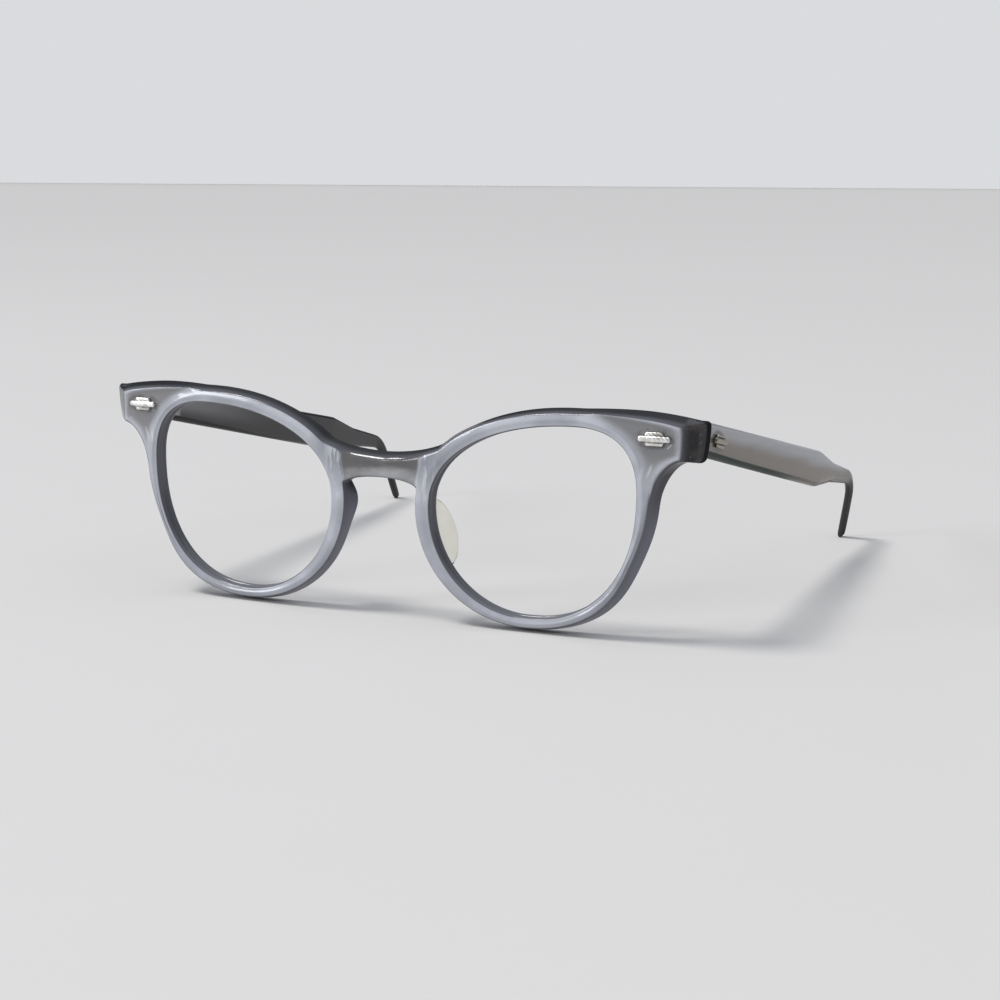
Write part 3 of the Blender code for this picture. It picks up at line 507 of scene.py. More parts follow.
def makeTempleAcetate(side):
    tone = templeTones
    look = acetateLook
    finish, shader, start, place = newFinish("smokeAcetateTemple", look["shine"])
    facing = start.node("ShaderNodeTexCoord", {}, {}, "Normal")
    drop = math.radians(templeSize["drop"])
    middle = frontPlace + Vector((0, templeSize["start"], templeSize["centre"]))
    back = place.axis(1) - middle.y
    up = place.axis(2) - middle.z
    along = back * math.cos(drop) - up * math.sin(drop)
    across = up * math.cos(drop) + back * math.sin(drop)

    # paler above and browner below, partly a painted reflection, with dirt and painted shade round the plaque
    clouds = place.noise(90.0, 3.0, (1.0, 0.25, 1.0))
    streaks = place.noise(300.0, 3.0, (1.0, 0.08, 1.0))
    upper = across + (clouds - 0.5) * tone["waver"] + (streaks - 0.5) * tone["waver"]
    colour = upper.ease(*tone["upper"]).tint(look["templeLower"], look["templeUpper"])
    reachAlong = (along - plaqueSize["onTemple"]) / wearAndPaintedLightSetup["reach"]
    reachAcross = across / wearAndPaintedLightSetup["height"]
    dirt = 1.0 - (reachAlong * reachAlong + reachAcross * reachAcross).ease(*tone["dirt"])
    colour = (dirt * tone["dirtCover"]).tint(colour, look["grime"])

    # the dark bevel along the lower edge thins towards the ear
    halfHeight = along / templeSize["bladeLength"] * tone["bladeGrowth"] + templeSize["frontHeight"] / 2
    bevel = templeSize["bevel"] * (1.0 - along.ease(*tone["bevelThins"]))
    onBevel = (-across - halfHeight + bevel).ease(*tone["bevelEdge"])
    onBevel = onBevel * (1.0 - along.ease(*tone["bevelEnds"]))
    colour = onBevel.tint(colour, look["bevel"])
    # surfaces facing down take the dark bevel colour as painted shade, less towards the ear
    underside = (-facing.axis(2)).ease(*tone["underside"])
    underside = underside * (1.0 - along.ease(*tone["undersideEnds"]) * tone["undersideFade"])
    colour = underside.tint(colour, look["bevel"])

    # the inner side, painted dark as painted shade and lighter towards its top near the front, and the dark ear tip
    innerLight = across.ease(*tone["innerAcross"]) * (1.0 - along.ease(*tone["innerAlong"]))
    innerColour = innerLight.tint(look["templeInnerLow"], look["templeInner"])
    inner = (-(facing.axis(0) * side)).ease(*tone["inner"])
    colour = inner.tint(colour, innerColour)
    colour = along.ease(*tone["tip"]).tint(colour, look["tip"])
    plug(shader, "Base Color", colour)
    acetateSurface(shader, place, tone["waves"])
    dullWhere(finish, shader, colour, underside.most(onBevel).most(inner * tone["innerDull"]))
    return finish


padLook = {
    "clear": {"IOR": 1.28, "Transmission Weight": 1.0}, "pale": rgb(0.90, 0.89, 0.82), "yellow": rgb(0.85, 0.84, 0.76),
    "clouds": (0.3, 0.7), "roughness": 0.02, "cloudDull": 0.05,
}


def makeClearPad():
    look = padLook
    finish, shader, _, place = newFinish("clearPad", look["clear"])
    clouds = place.noise(220.0, 2.0)
    plug(shader, "Base Color", clouds.ease(*look["clouds"]).tint(look["pale"], look["yellow"]))
    plug(shader, "Roughness", look["roughness"] + clouds * look["cloudDull"])
    return finish


# silver, tarnished on the temples, with fine slanting cuts
silverLook = {
    "worn": rgb(0.72, 0.70, 0.66), "bright": rgb(0.92, 0.91, 0.89), "wear": (0.35, 0.65),
    "tarnish": rgb(0.35, 0.33, 0.28), "tarnishBehind": (0.006, 0.008),
    "grime": rgb(0.30, 0.27, 0.22), "grimeSpots": (0.52, 0.70), "grimeCover": 0.5,
    "roughness": 0.26, "wearDull": 0.22, "cuts": {"Scale": 700.0, "Distortion": 3.0, "Detail": 1.0},
    "bump": 0.35, "bumpHeight": 0.0001,
}


def makePlaqueSilver():
    look = silverLook
    finish, shader, start, place = newFinish("plaqueSilver", {"Metallic": 1.0})
    wear = place.noise(700.0, 3.0)
    colour = wear.ease(*look["wear"]).tint(look["worn"], look["bright"])
    onTemple = (place.axis(1) - frontPlace.y).ease(*look["tarnishBehind"])
    colour = onTemple.tint(colour, look["tarnish"])
    grime = place.noise(300.0, 2.0).ease(*look["grimeSpots"])
    plug(shader, "Base Color", (grime * look["grimeCover"]).tint(colour, look["grime"]))
    plug(shader, "Roughness", look["roughness"] + wear * look["wearDull"])
    cuts = start.node("ShaderNodeTexWave", {"wave_type": "BANDS", "bands_direction": "DIAGONAL"},
                      {"Vector": place, **look["cuts"]})
    plugBump(shader, cuts, look["bump"], look["bumpHeight"])
    return finish


steelLook = {
    "dark": rgb(0.24, 0.23, 0.21), "light": rgb(0.42, 0.41, 0.39), "wear": (0.3, 0.7),
    "roughness": 0.28, "brushedDull": 0.25, "bump": 0.15, "bumpHeight": 0.00005,
}


def makeHingeSteel():
    look = steelLook
    finish, shader, _, place = newFinish("hingeSteel", {"Metallic": 1.0})
    wear = place.noise(500.0, 4.0)
    brushed = place.noise(900.0, 2.0, (0.1, 1.0, 1.0))
    plug(shader, "Base Color", wear.ease(*look["wear"]).tint(look["dark"], look["light"]))
    plug(shader, "Roughness", look["roughness"] + brushed * look["brushedDull"])
    plugBump(shader, brushed, look["bump"], look["bumpHeight"])
    return finish


# the front: rims, keyhole bridge and end pieces in one piece

frontSize = {
    "lensWidth": 0.0435, "lensHeight": 0.0386, "lensSpacing": 0.0225, "lensTop": 0.0189,
    "peakFromNose": 0.0308, "dipFromNose": 0.0208, "noseRise": 0.0010, "sideRise": 0.0065,
    "fullness": (2.46, 2.10, 2.03, 2.28),
    "rimWidth": (0.0032, 0.0032, 0.0034, 0.0025), "slimBy": 0.0010, "slimTurn": 3.70, "slimReach": 0.20,
    "rimDepth": 0.0044,
    "innerRoll": 0.0007, "outerRoll": (0.0008, 0.0006, 0.0003, 0.0007), "rollStart": (0.35, 0.16), "rollEnd": 0.65,
    "edgeEase": (0.0003, 0.0005, 0.0002, 0.0003), "bridgeEase": 0.0010, "backRoll": 0.0006,
    "backLean": (0.0008, 0.0003, 0, 0.0004), "support": 0.0004,
    "crown": 0.00028, "crownFall": 0.7, "grooveDepth": 0.0009, "grooveWidth": 0.0014, "grooveAt": 0.0022,
    "grooveCreases": {13: 0.5, 14: 0.6, 15: 0.5}, "bowRadius": 0.9,
    "bridgeTop": 0.0113, "bridgeLow": 0.0062, "topShoulder": 0.0130, "lowShoulder": 0.0044,
    "topPull": (0.0070, 0.0113), "lowPull": (0.0068, 0.0062), "bridgeRecess": 0.00045,
    "bridgeBackRecess": 0.0004, "bridgeFlush": 0.00012,
    "creaseX": 0.00705, "creaseSlope": 0.2, "creaseHalf": 0.00035,
    "shoulderLean": 0.0006, "shoulderRise": 0.0135, "shoulderLength": 0.0030,
    "lip": 0.0015, "lipRise": 0.0014, "lipAbove": 0.0017, "lipBelow": 0.0040,
    "faceX": 0.0635, "sideX": 0.0673, "sideDepth": 0.0064, "backX": 0.0680, "endTop": 0.0208,
    "endBottom": 0.0132, "endTopStartX": 0.0435, "endLowStart": 0.0050, "footInset": 0.0009,
    "endTopPull": (0.0560, 0.0227), "endLowPull": (0.0592, 0.0123), "endLowBackPull": (0.0597, 0.0127),
    "endRecess": 0.0006, "endBack": 0.0082, "endEdge": 0.0007, "endFall": 0.0003, "endBackRoll": 0.0009,
    "faceRound": 0.00025, "backStep": 0.0012, "lowPullEase": 0.7, "fallFrom": 0.9, "facetDish": 0.3,
    "endColumns": ((0.12, 0.9), (0.30, 1), (0.50, 1), (0.70, 1), (0.84, 0.9), (0.92, 0.6), (1.0, 0.3),
                   (1.18, 0), (1.88, 0), (2.0, 0), (2.3, 0)),
    "endJoin": ((0.0017, 0.00010, 0.15), (0.0024, 0.00014, 0.45)), "endJoinEdge": (0.00014, 0.7),
    "bridgeJoin": ((0.0010, 0.00008), (0.0004, 0.00010)), "panelFade": {4: 0.15, 5: 0.45, 6: 0.75},
    "endLowTurns": (-0.6, 0.9), "endTopTurns": (0.1, 1.0), "noseTurns": (1.1, 2.8),
    "endShares": (0, 0.07, 0.20, 0.36, 0.52, 0.68, 0.82, 0.94, 1),
    "endDish": (0, 0.15, 0.75, 1, 1, 1, 0.85, 0.3, 0),
    "bridgeShares": (0, 0.15, 0.30, 0.50, 0.78, 0.95, 1),
    "bridgeSink": (0.0005, 0, 0.0001, 0.0002, 0.0001, -0.0002, 0.0002),
    "flushSink": (0.0003, 0, 0, 0, 0, 0, 0.0004), "topSink": (0, 0, 0, 0.0004, 0, 0.0003),
    "bridgeSteps": (0.35, 0.7), "browSteps": 16, "lowerSteps": 36, "mirrorWeld": 0.00002, "levels": 2,
}

# rings of the rim's outer wall, front to back, that a web grows out of, and the last ring of its back
wallRings = (6, 7, 8, 9)
lastBackRing = 11


def bow(x):
    return x * x / (2 * frontSize["bowRadius"])


# outline of a lens opening; one turn is a quarter: side, top, nose, bottom and round again
def openingPoint(turn):
    nose = frontSize["lensSpacing"] / 2
    corners = [
        Vector((nose + frontSize["lensWidth"], frontSize["sideRise"])),
        Vector((nose + frontSize["peakFromNose"], frontSize["lensTop"])),
        Vector((nose, frontSize["noseRise"])),
        Vector((nose + frontSize["dipFromNose"], frontSize["lensTop"] - frontSize["lensHeight"])),
    ]
    quarter = math.floor(turn) % 4
    angle = (turn - math.floor(turn)) * math.pi / 2
    start = corners[quarter]
    end = corners[(quarter + 1) % 4]
    centre = Vector((end.x, start.y)) if quarter % 2 == 0 else Vector((start.x, end.y))
    power = 2 / frontSize["fullness"][quarter]
    return centre + (start - centre) * math.cos(angle) ** power + (end - centre) * math.sin(angle) ** power


def aroundRim(sizes, turn):
    quarter = math.floor(turn) % 4
    share = (1 - math.cos(math.pi * (turn - math.floor(turn)))) / 2
    return mix(sizes[quarter], sizes[(quarter + 1) % 4], share)


# the rim is slimmest on the lower side
def rimWidthAt(turn):
    away = ((turn - frontSize["slimTurn"] + 2) % 4 - 2) / frontSize["slimReach"]
    return aroundRim(frontSize["rimWidth"], turn) - frontSize["slimBy"] * math.exp(-away * away)


def rimOutward(turn, reach=0.02):
    along = openingPoint(turn + reach) - openingPoint(turn - reach)
    return Vector((along.y, -along.x)).normalized()


def rimOuterPoint(turn):
    return openingPoint(turn) + rimOutward(turn) * rimWidthAt(turn)


def rimRise(turn):
    return rimOuterPoint(turn).y


# front edge of the outer wall, which leans out from there to the back
def rimOuterFrontPoint(turn):
    return rimOuterPoint(turn) - rimOutward(turn) * aroundRim(frontSize["edgeEase"], turn)


def turnWhere(measure, value, low, high):
    rising = measure(high) > measure(low)
    for _ in range(40):
        middle = (low + high) / 2
        if (measure(middle) < value) == rising:
            low = middle
        else:
            high = middle
    return (low + high) / 2


# how far the back edge of the outer wall stands out beyond its front edge
def backLean(turn):
    size = frontSize
    lean = aroundRim(size["backLean"], turn)
    rise = rimRise(turn)
    if 1 < turn % 4 < 2:
        lean += size["shoulderLean"] * math.exp(-((rise - size["shoulderRise"]) / size["shoulderLength"]) ** 2)
    if 1 < turn % 4 < 3:
        above = rise - size["lipRise"]
        lean += size["lip"] * math.exp(-(above / size["lipAbove" if above > 0 else "lipBelow"]) ** 2)
    return lean


def rimOuterBackPoint(turn):
    return rimOuterPoint(turn) + rimOutward(turn) * backLean(turn)


# section of the rim, across from the lens wall and back from the crest; outside is how a web joins it
def rimProfile(turn, outside):
    size = frontSize
    width = rimWidthAt(turn)
    inner = size["innerRoll"]
    face = width - aroundRim(size["edgeEase"], turn)
    depth = size["rimDepth"]
    back = size["backRoll"]
    lean = backLean(turn)
    crown = size["crown"]
    groove = size["grooveAt"]
    halfGroove = size["grooveWidth"] / 2
    shoulder = 1 - math.cos(math.pi / 4)
    if outside is None:
        roll = aroundRim(size["outerRoll"], turn)
        fallen = crown * size["crownFall"]
        inward, lowered = size["rollStart"]
        outside = [
            (face - roll, fallen),
            (face - roll * inward, fallen + roll * lowered),
            (face, fallen + roll * size["rollEnd"]),
        ]
    edge, front = outside[-1]
    hold = size["support"] / (depth - back - front)
    return [
        (0, inner),
        (shoulder * inner, shoulder * inner),
        (inner, crown),
        ((inner + outside[0][0]) / 2, 0),
        *outside,
        (mix(edge, width + lean, hold), mix(front, depth - back, hold)),
        (mix(edge, width + lean, 1 - hold), mix(front, depth - back, 1 - hold)),
        (width + lean, depth - back),
        (width + lean - back, depth),
        (back, depth),
        (0, depth - back),
        (0, groove + halfGroove),
        (size["grooveDepth"], groove),
        (0, groove - halfGroove),
    ]


# the places of one web row's wall rings, with the middle two held near the edges, and how far into a panel it is
def acrossWall(front, back, panel):
    hold = min(frontSize["support"] / (back - front).length, 0.4)
    spots = [front, mix(front, back, hold), mix(front, back, 1 - hold), back]
    places = {ring: frontPlace + spot for ring, spot in zip(wallRings, spots)}
    places["panel"] = panel
    return places


# end piece: out along its dished face, round the slanted end and back behind it
def endColumns(turns, stations):
    size = frontSize
    sideEase, topEase = size["edgeEase"][:2]
    columns = []
    for share, dish in size["endColumns"]:
        columns.append({})
        for station in stations:
            row = size["endShares"][station]
            edge = station in (stations[0], stations[-1])
            turn = turns[station]
            faceEdge = size["endEdge"] if edge else 0
            backRoll = size["endBackRoll"] if edge else 0
            low = size["endBottom"] - size["endFall"] * max(min(share, 2) - size["fallFrom"], 0)
            height = mix(low, size["endTop"], row)
            faceHeight = mix(low + sideEase, size["endTop"] - topEase, row)
            backHeight = height + size["backLean"][1] * row
            inset = size["footInset"] * (1 - row) ** 2
            backEnd = size["backX"] - inset - size["endBackRoll"]
            sunk = dish * size["endDish"][station]
            if share <= 1:
                lowPull = Vector(size["endLowPull"]) + Vector((-sideEase, sideEase)) * size["lowPullEase"]
                topPull = Vector(size["endTopPull"]) - Vector((0, topEase))
                start = rimOuterFrontPoint(turn) if edge else rimOuterPoint(turn)
                spot = drawnCurve(start, mix(lowPull, topPull, row), Vector((size["faceX"], faceHeight)), share)
                depth = size["endRecess"] * sunk + max(faceEdge, size["faceRound"] if share == 1 else 0)
                front = Vector((spot.x, bow(spot.x) + depth, spot.y))
                topPull = Vector(size["endTopPull"]) + Vector((0, size["backLean"][1]))
                pull = mix(Vector(size["endLowBackPull"]), topPull, row)
                backSpot = Vector((backEnd - size["backStep"], backHeight))
                spot = drawnCurve(rimOuterBackPoint(turn), pull, backSpot, share)
                depth = mix(bow(spot.x) + size["rimDepth"], size["endBack"], min(share * 2, 1)) - backRoll
                back = Vector((spot.x, depth, spot.y))
            else:
                along = min(share - 1, 1)
                faceDepth = bow(size["faceX"]) + size["endRecess"] * size["facetDish"]
                faceDepth += max(faceEdge, size["faceRound"])
                side = size["sideX"] - inset - faceEdge
                front = Vector((mix(size["faceX"], side, along), mix(faceDepth, size["sideDepth"], along),
                                mix(faceHeight, height, along)))
                if share > 2:
                    front = Vector((size["backX"] - inset - faceEdge, size["endBack"] - size["endBackRoll"],
                                    backHeight))
                back = Vector((backEnd - size["backStep"] * (1 - along), size["endBack"] - backRoll, backHeight))
            columns[-1][station] = acrossWall(front, back, sunk)
    return columns


# half of the bridge, from the rim over the crease to the sunken middle
def bridgeColumns(turns, stations):
    size = frontSize
    columns = [{} for _ in size["topSink"]]
    for station in stations:
        number = station - stations[0]
        row = size["bridgeShares"][number]
        edge = station in (stations[0], stations[-1])
        ease = Vector((0, size["bridgeEase"] * (1 - row)))
        backEnd = Vector((0, mix(size["bridgeTop"], size["bridgeLow"], row)))
        backPull = mix(Vector(size["topPull"]), Vector(size["lowPull"]), row)
        backStart = rimOuterBackPoint(turns[station])
        end = backEnd - ease
        pull = backPull - ease
        start = rimOuterFrontPoint(turns[station]) if edge else rimOuterPoint(turns[station])

        def beyondCrease(share):
            spot = drawnCurve(start, pull, end, share)
            return spot.x - size["creaseX"] - size["creaseSlope"] * spot.y

        before = turnWhere(beyondCrease, size["creaseHalf"], 0, 1)
        after = turnWhere(beyondCrease, -size["creaseHalf"], 0, 1)
        shares = (before / 2, before, after, *(mix(after, 1, step) for step in size["bridgeSteps"]), 1)
        for column, share, topSink in zip(columns, shares, size["topSink"]):
            sunk = 1 if share >= after else 0
            spot = drawnCurve(start, pull, end, share)
            depth = size["bridgeFlush"] + size["flushSink"][number]
            if sunk:
                depth = size["bridgeRecess"] + size["bridgeSink"][number] + (topSink if number == 0 else 0)
            front = Vector((spot.x, bow(spot.x) + depth, spot.y))
            spot = drawnCurve(backStart, backPull, backEnd, share)
            depth = size["rimDepth"] - size["bridgeBackRecess"] - (size["backRoll"] if edge else 0)
            column[station] = acrossWall(front, Vector((spot.x, bow(spot.x) + depth, spot.y)), sunk)
    return columns


def buildFront(finish):
    size = frontSize
    endLow = turnWhere(rimRise, size["endLowStart"], *size["endLowTurns"])
    endTop = turnWhere(lambda turn: rimOuterPoint(turn).x, size["endTopStartX"], *size["endTopTurns"])
    bridgeTop = turnWhere(rimRise, size["topShoulder"], *size["noseTurns"])
    bridgeLow = turnWhere(rimRise, size["lowShoulder"], *size["noseTurns"])
    turns = [mix(endLow, endTop, share) for share in size["endShares"][:-1]]
    endStations = range(0, len(turns) + 1)
    turns += spread(endTop, bridgeTop, size["browSteps"])
    bridgeStart = len(turns)
    turns += [mix(bridgeTop, bridgeLow, share) for share in size["bridgeShares"][:-1]]
    bridgeStations = range(bridgeStart, len(turns) + 1)
    turns += spread(bridgeLow, endLow + 4, size["lowerSteps"])
    joins = {}
    for station in endStations[1:-1]:
        width = rimWidthAt(turns[station])
        dish = size["endRecess"] * size["endDish"][station]
        depth, sunk = size["endJoinEdge"]
        joins[station] = [(across, start + dish * share) for across, start, share in size["endJoin"]]
        joins[station].append((width, depth + dish * sunk))
    for station in bridgeStations[1:-1]:
        width = rimWidthAt(turns[station])
        joins[station] = [(width - inward, depth) for inward, depth in size["bridgeJoin"]]
        joins[station].append((width, size["bridgeFlush"]))
    profiles = [rimProfile(turn, joins.get(station)) for station, turn in enumerate(turns)]

    def rimSpot(station, ring):
        across, depth = profiles[station][ring % len(profiles[station])]
        spot = openingPoint(turns[station]) + rimOutward(turns[station]) * across
        return frontPlace + Vector((spot.x, bow(spot.x) + depth, spot.y))

    piece = startRing("front_shell", len(turns), rimSpot)
    for ring in range(1, len(profiles[0]) + 1):
        growRing(piece, ring, rimSpot)
    bpy.ops.mesh.select_all(action="SELECT")
    bpy.ops.mesh.remove_doubles(threshold=weldDistance)
    creaseRings(piece, size["grooveCreases"])

    # how far each corner lies in a sunken panel; the lens side is marked -1
    cage = bmesh.from_edit_mesh(piece.data)
    panelOf = cage.verts.layers.float.new("panel")
    for corner in cage.verts:
        station = corner[cage.verts.layers.int["station"]]
        ring = corner[cage.verts.layers.int["ring"]]
        if station in endStations:
            corner[panelOf] = size["panelFade"].get(ring, 0) * size["endDish"][station]
        if ring == 0 or ring > lastBackRing:
            corner[panelOf] = -1
    bmesh.update_edit_mesh(piece.data)
    growWeb(piece, wallRings, endStations, endColumns(turns, endStations))
    growWeb(piece, wallRings, bridgeStations, bridgeColumns(turns, bridgeStations))
    bpy.ops.mesh.delete(type="FACE")
    bpy.ops.object.mode_set(mode="OBJECT")
    otherHalf = piece.modifiers.new("otherHalf", "MIRROR")
    otherHalf.merge_threshold = size["mirrorWeld"]
    applyAll(piece)
    bpy.ops.object.mode_set(mode="EDIT")
    mergeAndTurnOut()
    smoothPiece(piece, size["levels"])
    finishPiece(piece, "front", ["front_frame"], finish)
    print("front", len(piece.data.polygons))


# temples: a blade, a taper and neck, and a bent ear tip

templeSize = {
    "thickness": 0.0034, "endThickness": 0.0028, "crown": 0.00025, "centre": 0.0177, "start": 0.0085,
    "frontHeight": 0.0068, "bladeLength": 0.0870, "bladeHeight": 0.0085, "drop": 12.1, "spread": 0.4,
    "roll": 0.0009, "bevel": 0.0012, "taperLength": 0.0120, "taperHeight": 0.0049,
    "neckLength": 0.0140, "neckHeight": 0.0035, "bendRadius": 0.0070, "bend": 66.0,
    "tipLength": 0.0115, "tipWidth": 0.0025, "tipThickness": 0.0018, "tipInward": 0.0030,
    "knuckle": 0.00115, "leafGap": 0.00035, "frontRound": 0.0004, "frontHold": 0.0014, "bladeDip": 0.00004,
    "bladeShares": (0.25, 0.5, 0.75, 0.93, 0.985), "taperShares": (0.10, 0.35, 0.65, 0.90, 1.0),
    "neckShares": (0.12, 0.5, 0.9, 1.0), "bendSteps": 6, "tipShares": (0, 0.3, 0.6, 0.8, 0.93),
    "tipThinning": 0.0006, "rollLimit": 0.75, "levels": 2,
}


# middle line seen from the side: depth and height, and how steeply it falls
def templePath(along):
    size = templeSize
    drop = math.radians(size["drop"])
    straight = size["bladeLength"] + size["taperLength"] + size["neckLength"]
    start = Vector((size["start"], size["centre"]))
    forward = Vector((math.cos(drop), -math.sin(drop)))
    downward = Vector((forward.y, -forward.x))
    if along <= straight:
        return start + forward * along, drop
    turned = min((along - straight) / size["bendRadius"], math.radians(size["bend"]))
    spot = start + forward * (straight + size["bendRadius"] * math.sin(turned))
    spot += downward * size["bendRadius"] * (1 - math.cos(turned))
    fall = drop + turned
    beyond = max(along - straight - size["bendRadius"] * math.radians(size["bend"]), 0)
    return spot + Vector((math.cos(fall), -math.sin(fall))) * beyond, fall


def templeThickness(along):
    size = templeSize
    if along <= size["bladeLength"]:
        return mix(size["thickness"], size["endThickness"], along / size["bladeLength"])
    share = min((along - size["bladeLength"]) / (size["taperLength"] + size["neckLength"]), 1)
    return mix(size["endThickness"], size["tipThickness"], share)


def templeOuterX(along):
    size = templeSize
    straight = size["bladeLength"] + size["taperLength"] + size["neckLength"]
    curl = max(along - straight, 0) / (size["bendRadius"] * math.radians(size["bend"]) + size["tipLength"])
    outer = hingeSetup["side"] + size["knuckle"] + size["leafGap"] + size["thickness"]
    return outer + math.sin(math.radians(size["spread"])) * along - size["tipInward"] * curl * curl


# across outward and up, from the inner top corner round over the outside
def templeSection(thickness, height):
    half = thickness / 2
    tall = height / 2
    limit = templeSize["rollLimit"]
    roll = min(templeSize["roll"], half * limit, tall * limit)
    bevel = min(templeSize["bevel"], tall * limit)
    slant = roll * (1 - math.cos(math.pi / 4))
    crown = templeSize["crown"] * min(1, height / templeSize["frontHeight"])
    return [
        (-half, tall - roll), (-half + slant, tall - slant), (-half + roll, tall),
        (half - roll, tall), (half - slant, tall - slant), (half, tall - roll),
        (half + crown, 0),
        (half + crown * 0.3, -tall + bevel * 1.15), (half - roll * 0.25, -tall + bevel * 0.75), (half - roll, -tall),
        (-half + roll, -tall), (-half + slant, -tall + slant), (-half, -tall + roll), (-half, 0),
    ]


# along the temple, its height there and how far the section is drawn in
def templeStations():
    size = templeSize
    blade = size["bladeLength"]
    taperEnd = blade + size["taperLength"]
    neckEnd = taperEnd + size["neckLength"]
    bendLength = size["bendRadius"] * math.radians(size["bend"])
    tipEnd = neckEnd + bendLength + size["tipLength"]
    tipRound = size["tipWidth"] / 2
    front = size["frontHeight"]
    stations = [(0, front, size["frontRound"]), (size["frontRound"], front, 0), (size["frontHold"], front, 0)]
    for share in size["bladeShares"]:
        stations.append((blade * share, mix(front, size["bladeHeight"], share), 0))
    stations.append((blade, size["bladeHeight"] - size["bladeDip"], 0))
    for share in size["taperShares"]:
        stations.append((blade + size["taperLength"] * share, mix(size["bladeHeight"], size["taperHeight"], share), 0))
    for share in size["neckShares"]:
        stations.append((taperEnd + size["neckLength"] * share, mix(size["taperHeight"], size["neckHeight"], share), 0))
    for step in range(1, size["bendSteps"] + 1):
        share = step / size["bendSteps"]
        stations.append((neckEnd + bendLength * share, mix(size["neckHeight"], size["tipWidth"], share), 0))
    for share in size["tipShares"]:
        turned = share * math.pi / 2
        along = tipEnd - tipRound * (1 - math.sin(turned))
        stations.append((along, size["tipWidth"], tipRound * (1 - math.cos(turned))))
    return stations


def buildTemple(side, name, finish):
    sections = []
    for along, height, shrink in templeStations():
        middle, fall = templePath(along)
        fall = 0 if along == 0 else fall  # the front end is square
        centre = templeOuterX(along) - templeThickness(along) / 2
        thickness = templeThickness(along) - 2 * min(shrink, templeSize["tipThinning"])
        spots = []
        for across, up in templeSection(thickness, height - 2 * shrink):
            spot = Vector((side * (centre + across), middle.x + up * math.sin(fall), middle.y + up * math.cos(fall)))
            spots.append(frontPlace + spot)
        sections.append(spots)
    piece = growThrough(name + "_shell", sections)
    smoothPiece(piece, templeSize["levels"])
    finishPiece(piece, name.replace("temple_", "") + "_temple", [name], finish)
    print(name, len(piece.data.polygons))


# clear nose pads

padSize = {
    "top": 0.0022, "bottom": -0.0128, "depth": 0.0050, "endDepth": 0.0006, "fullness": 0.6, "flare": 0.0024,
    "foot": 0.0020, "edge": 0.0010, "waist": 0.6, "lip": 0.9, "gap": 0.0003, "steps": 14, "levels": 2,
}


def buildPad(side, name, finish):
    size = padSize
    top = turnWhere(rimRise, size["top"], *frontSize["noseTurns"])
    bottom = turnWhere(rimRise, size["bottom"], *frontSize["noseTurns"])
    sections = []
    for step in range(size["steps"] + 1):
        share = step / size["steps"]
        turn = mix(top, bottom, share)
        reach = mix(size["endDepth"], size["depth"], math.sin(math.pi * share) ** size["fullness"])
        flare = size["flare"] * reach / size["depth"]
        middle = openingPoint(turn) + rimOutward(turn) * rimWidthAt(turn) / 2
        foot = size["foot"] / 2
        lip = size["edge"] / 2
        outline = [
            (foot, 0),
            (mix(foot, lip - flare, size["waist"]), reach * size["waist"]),
            (lip - flare, reach * size["lip"]),
            (-flare, reach),
            (-lip - flare, reach * size["lip"]),
            (mix(-foot, -lip - flare, size["waist"]), reach * size["waist"]),
            (-foot, 0),
            (0, 0),
        ]
        spots = []
        for across, depth in outline:
            spot = middle + rimOutward(turn) * across
            depth += bow(spot.x) + frontSize["rimDepth"] + size["gap"]
            spots.append(frontPlace + Vector((side * spot.x, depth, spot.y)))
        sections.append(spots)
    piece = growThrough(name + "_shell", sections)
    smoothPiece(piece, size["levels"])
    finishPiece(piece, "front", [name], finish)
    print(name, len(piece.data.polygons))


# plaques of stacked bars

plaqueSize = {
    "length": 0.0064, "barHeight": 0.0011, "barThickness": 0.0007, "sideLength": 0.0039, "sideHeight": 0.0007,
    "sideThickness": 0.0005, "sideSlant": 0.00035, "sideGap": 0.00008, "sideRound": 0.4, "sideEdge": 1.4,
    "baseThickness": 0.00022, "baseLength": 0.9, "endRound": 0.00038, "edge": 0.00012, "bevelSteps": 3,
    "smoothBelow": 35, "fromHinge": 0.0023, "rise": 0.0176, "onTemple": 0.0102, "sunkFront": 0.00015,
    "raisedTemple": 0.00012,
}


# one bar with its back on the plane y = 0
def addBar(length, height, thickness, middle, endRound, edge, slant=0):
    deselectAll()
    bpy.ops.mesh.primitive_cube_add(size=1, enter_editmode=True, location=(0, 0, 0))
    bpy.ops.transform.resize(value=(length, thickness, height))
    bpy.ops.transform.translate(value=(0, -thickness / 2, middle))
    bar = bpy.context.object
    bpy.ops.mesh.select_mode(type="EDGE")
    bpy.ops.mesh.select_all(action="DESELECT")
    cage = bmesh.from_edit_mesh(bar.data)
    for corner in cage.verts:
        if (corner.co.z - middle) * middle > 0:
            corner.co.x -= math.copysign(slant, corner.co.x)
    for edgeLine in cage.edges:
        first, second = (corner.co for corner in edgeLine.verts)
        if abs(first.y - second.y) > thickness / 2:
            edgeLine.select = True
    bmesh.update_edit_mesh(bar.data)
    bpy.ops.mesh.bevel(offset=endRound, segments=plaqueSize["bevelSteps"], affect="EDGES")
    bpy.ops.mesh.select_all(action="DESELECT")
    cage = bmesh.from_edit_mesh(bar.data)
    for edgeLine in cage.edges:
        if all(corner.co.y < -thickness * 0.99 for corner in edgeLine.verts):
            edgeLine.select = True
    bmesh.update_edit_mesh(bar.data)
    bpy.ops.mesh.bevel(offset=edge, segments=plaqueSize["bevelSteps"], affect="EDGES")
    bpy.ops.object.mode_set(mode="OBJECT")
    return bar


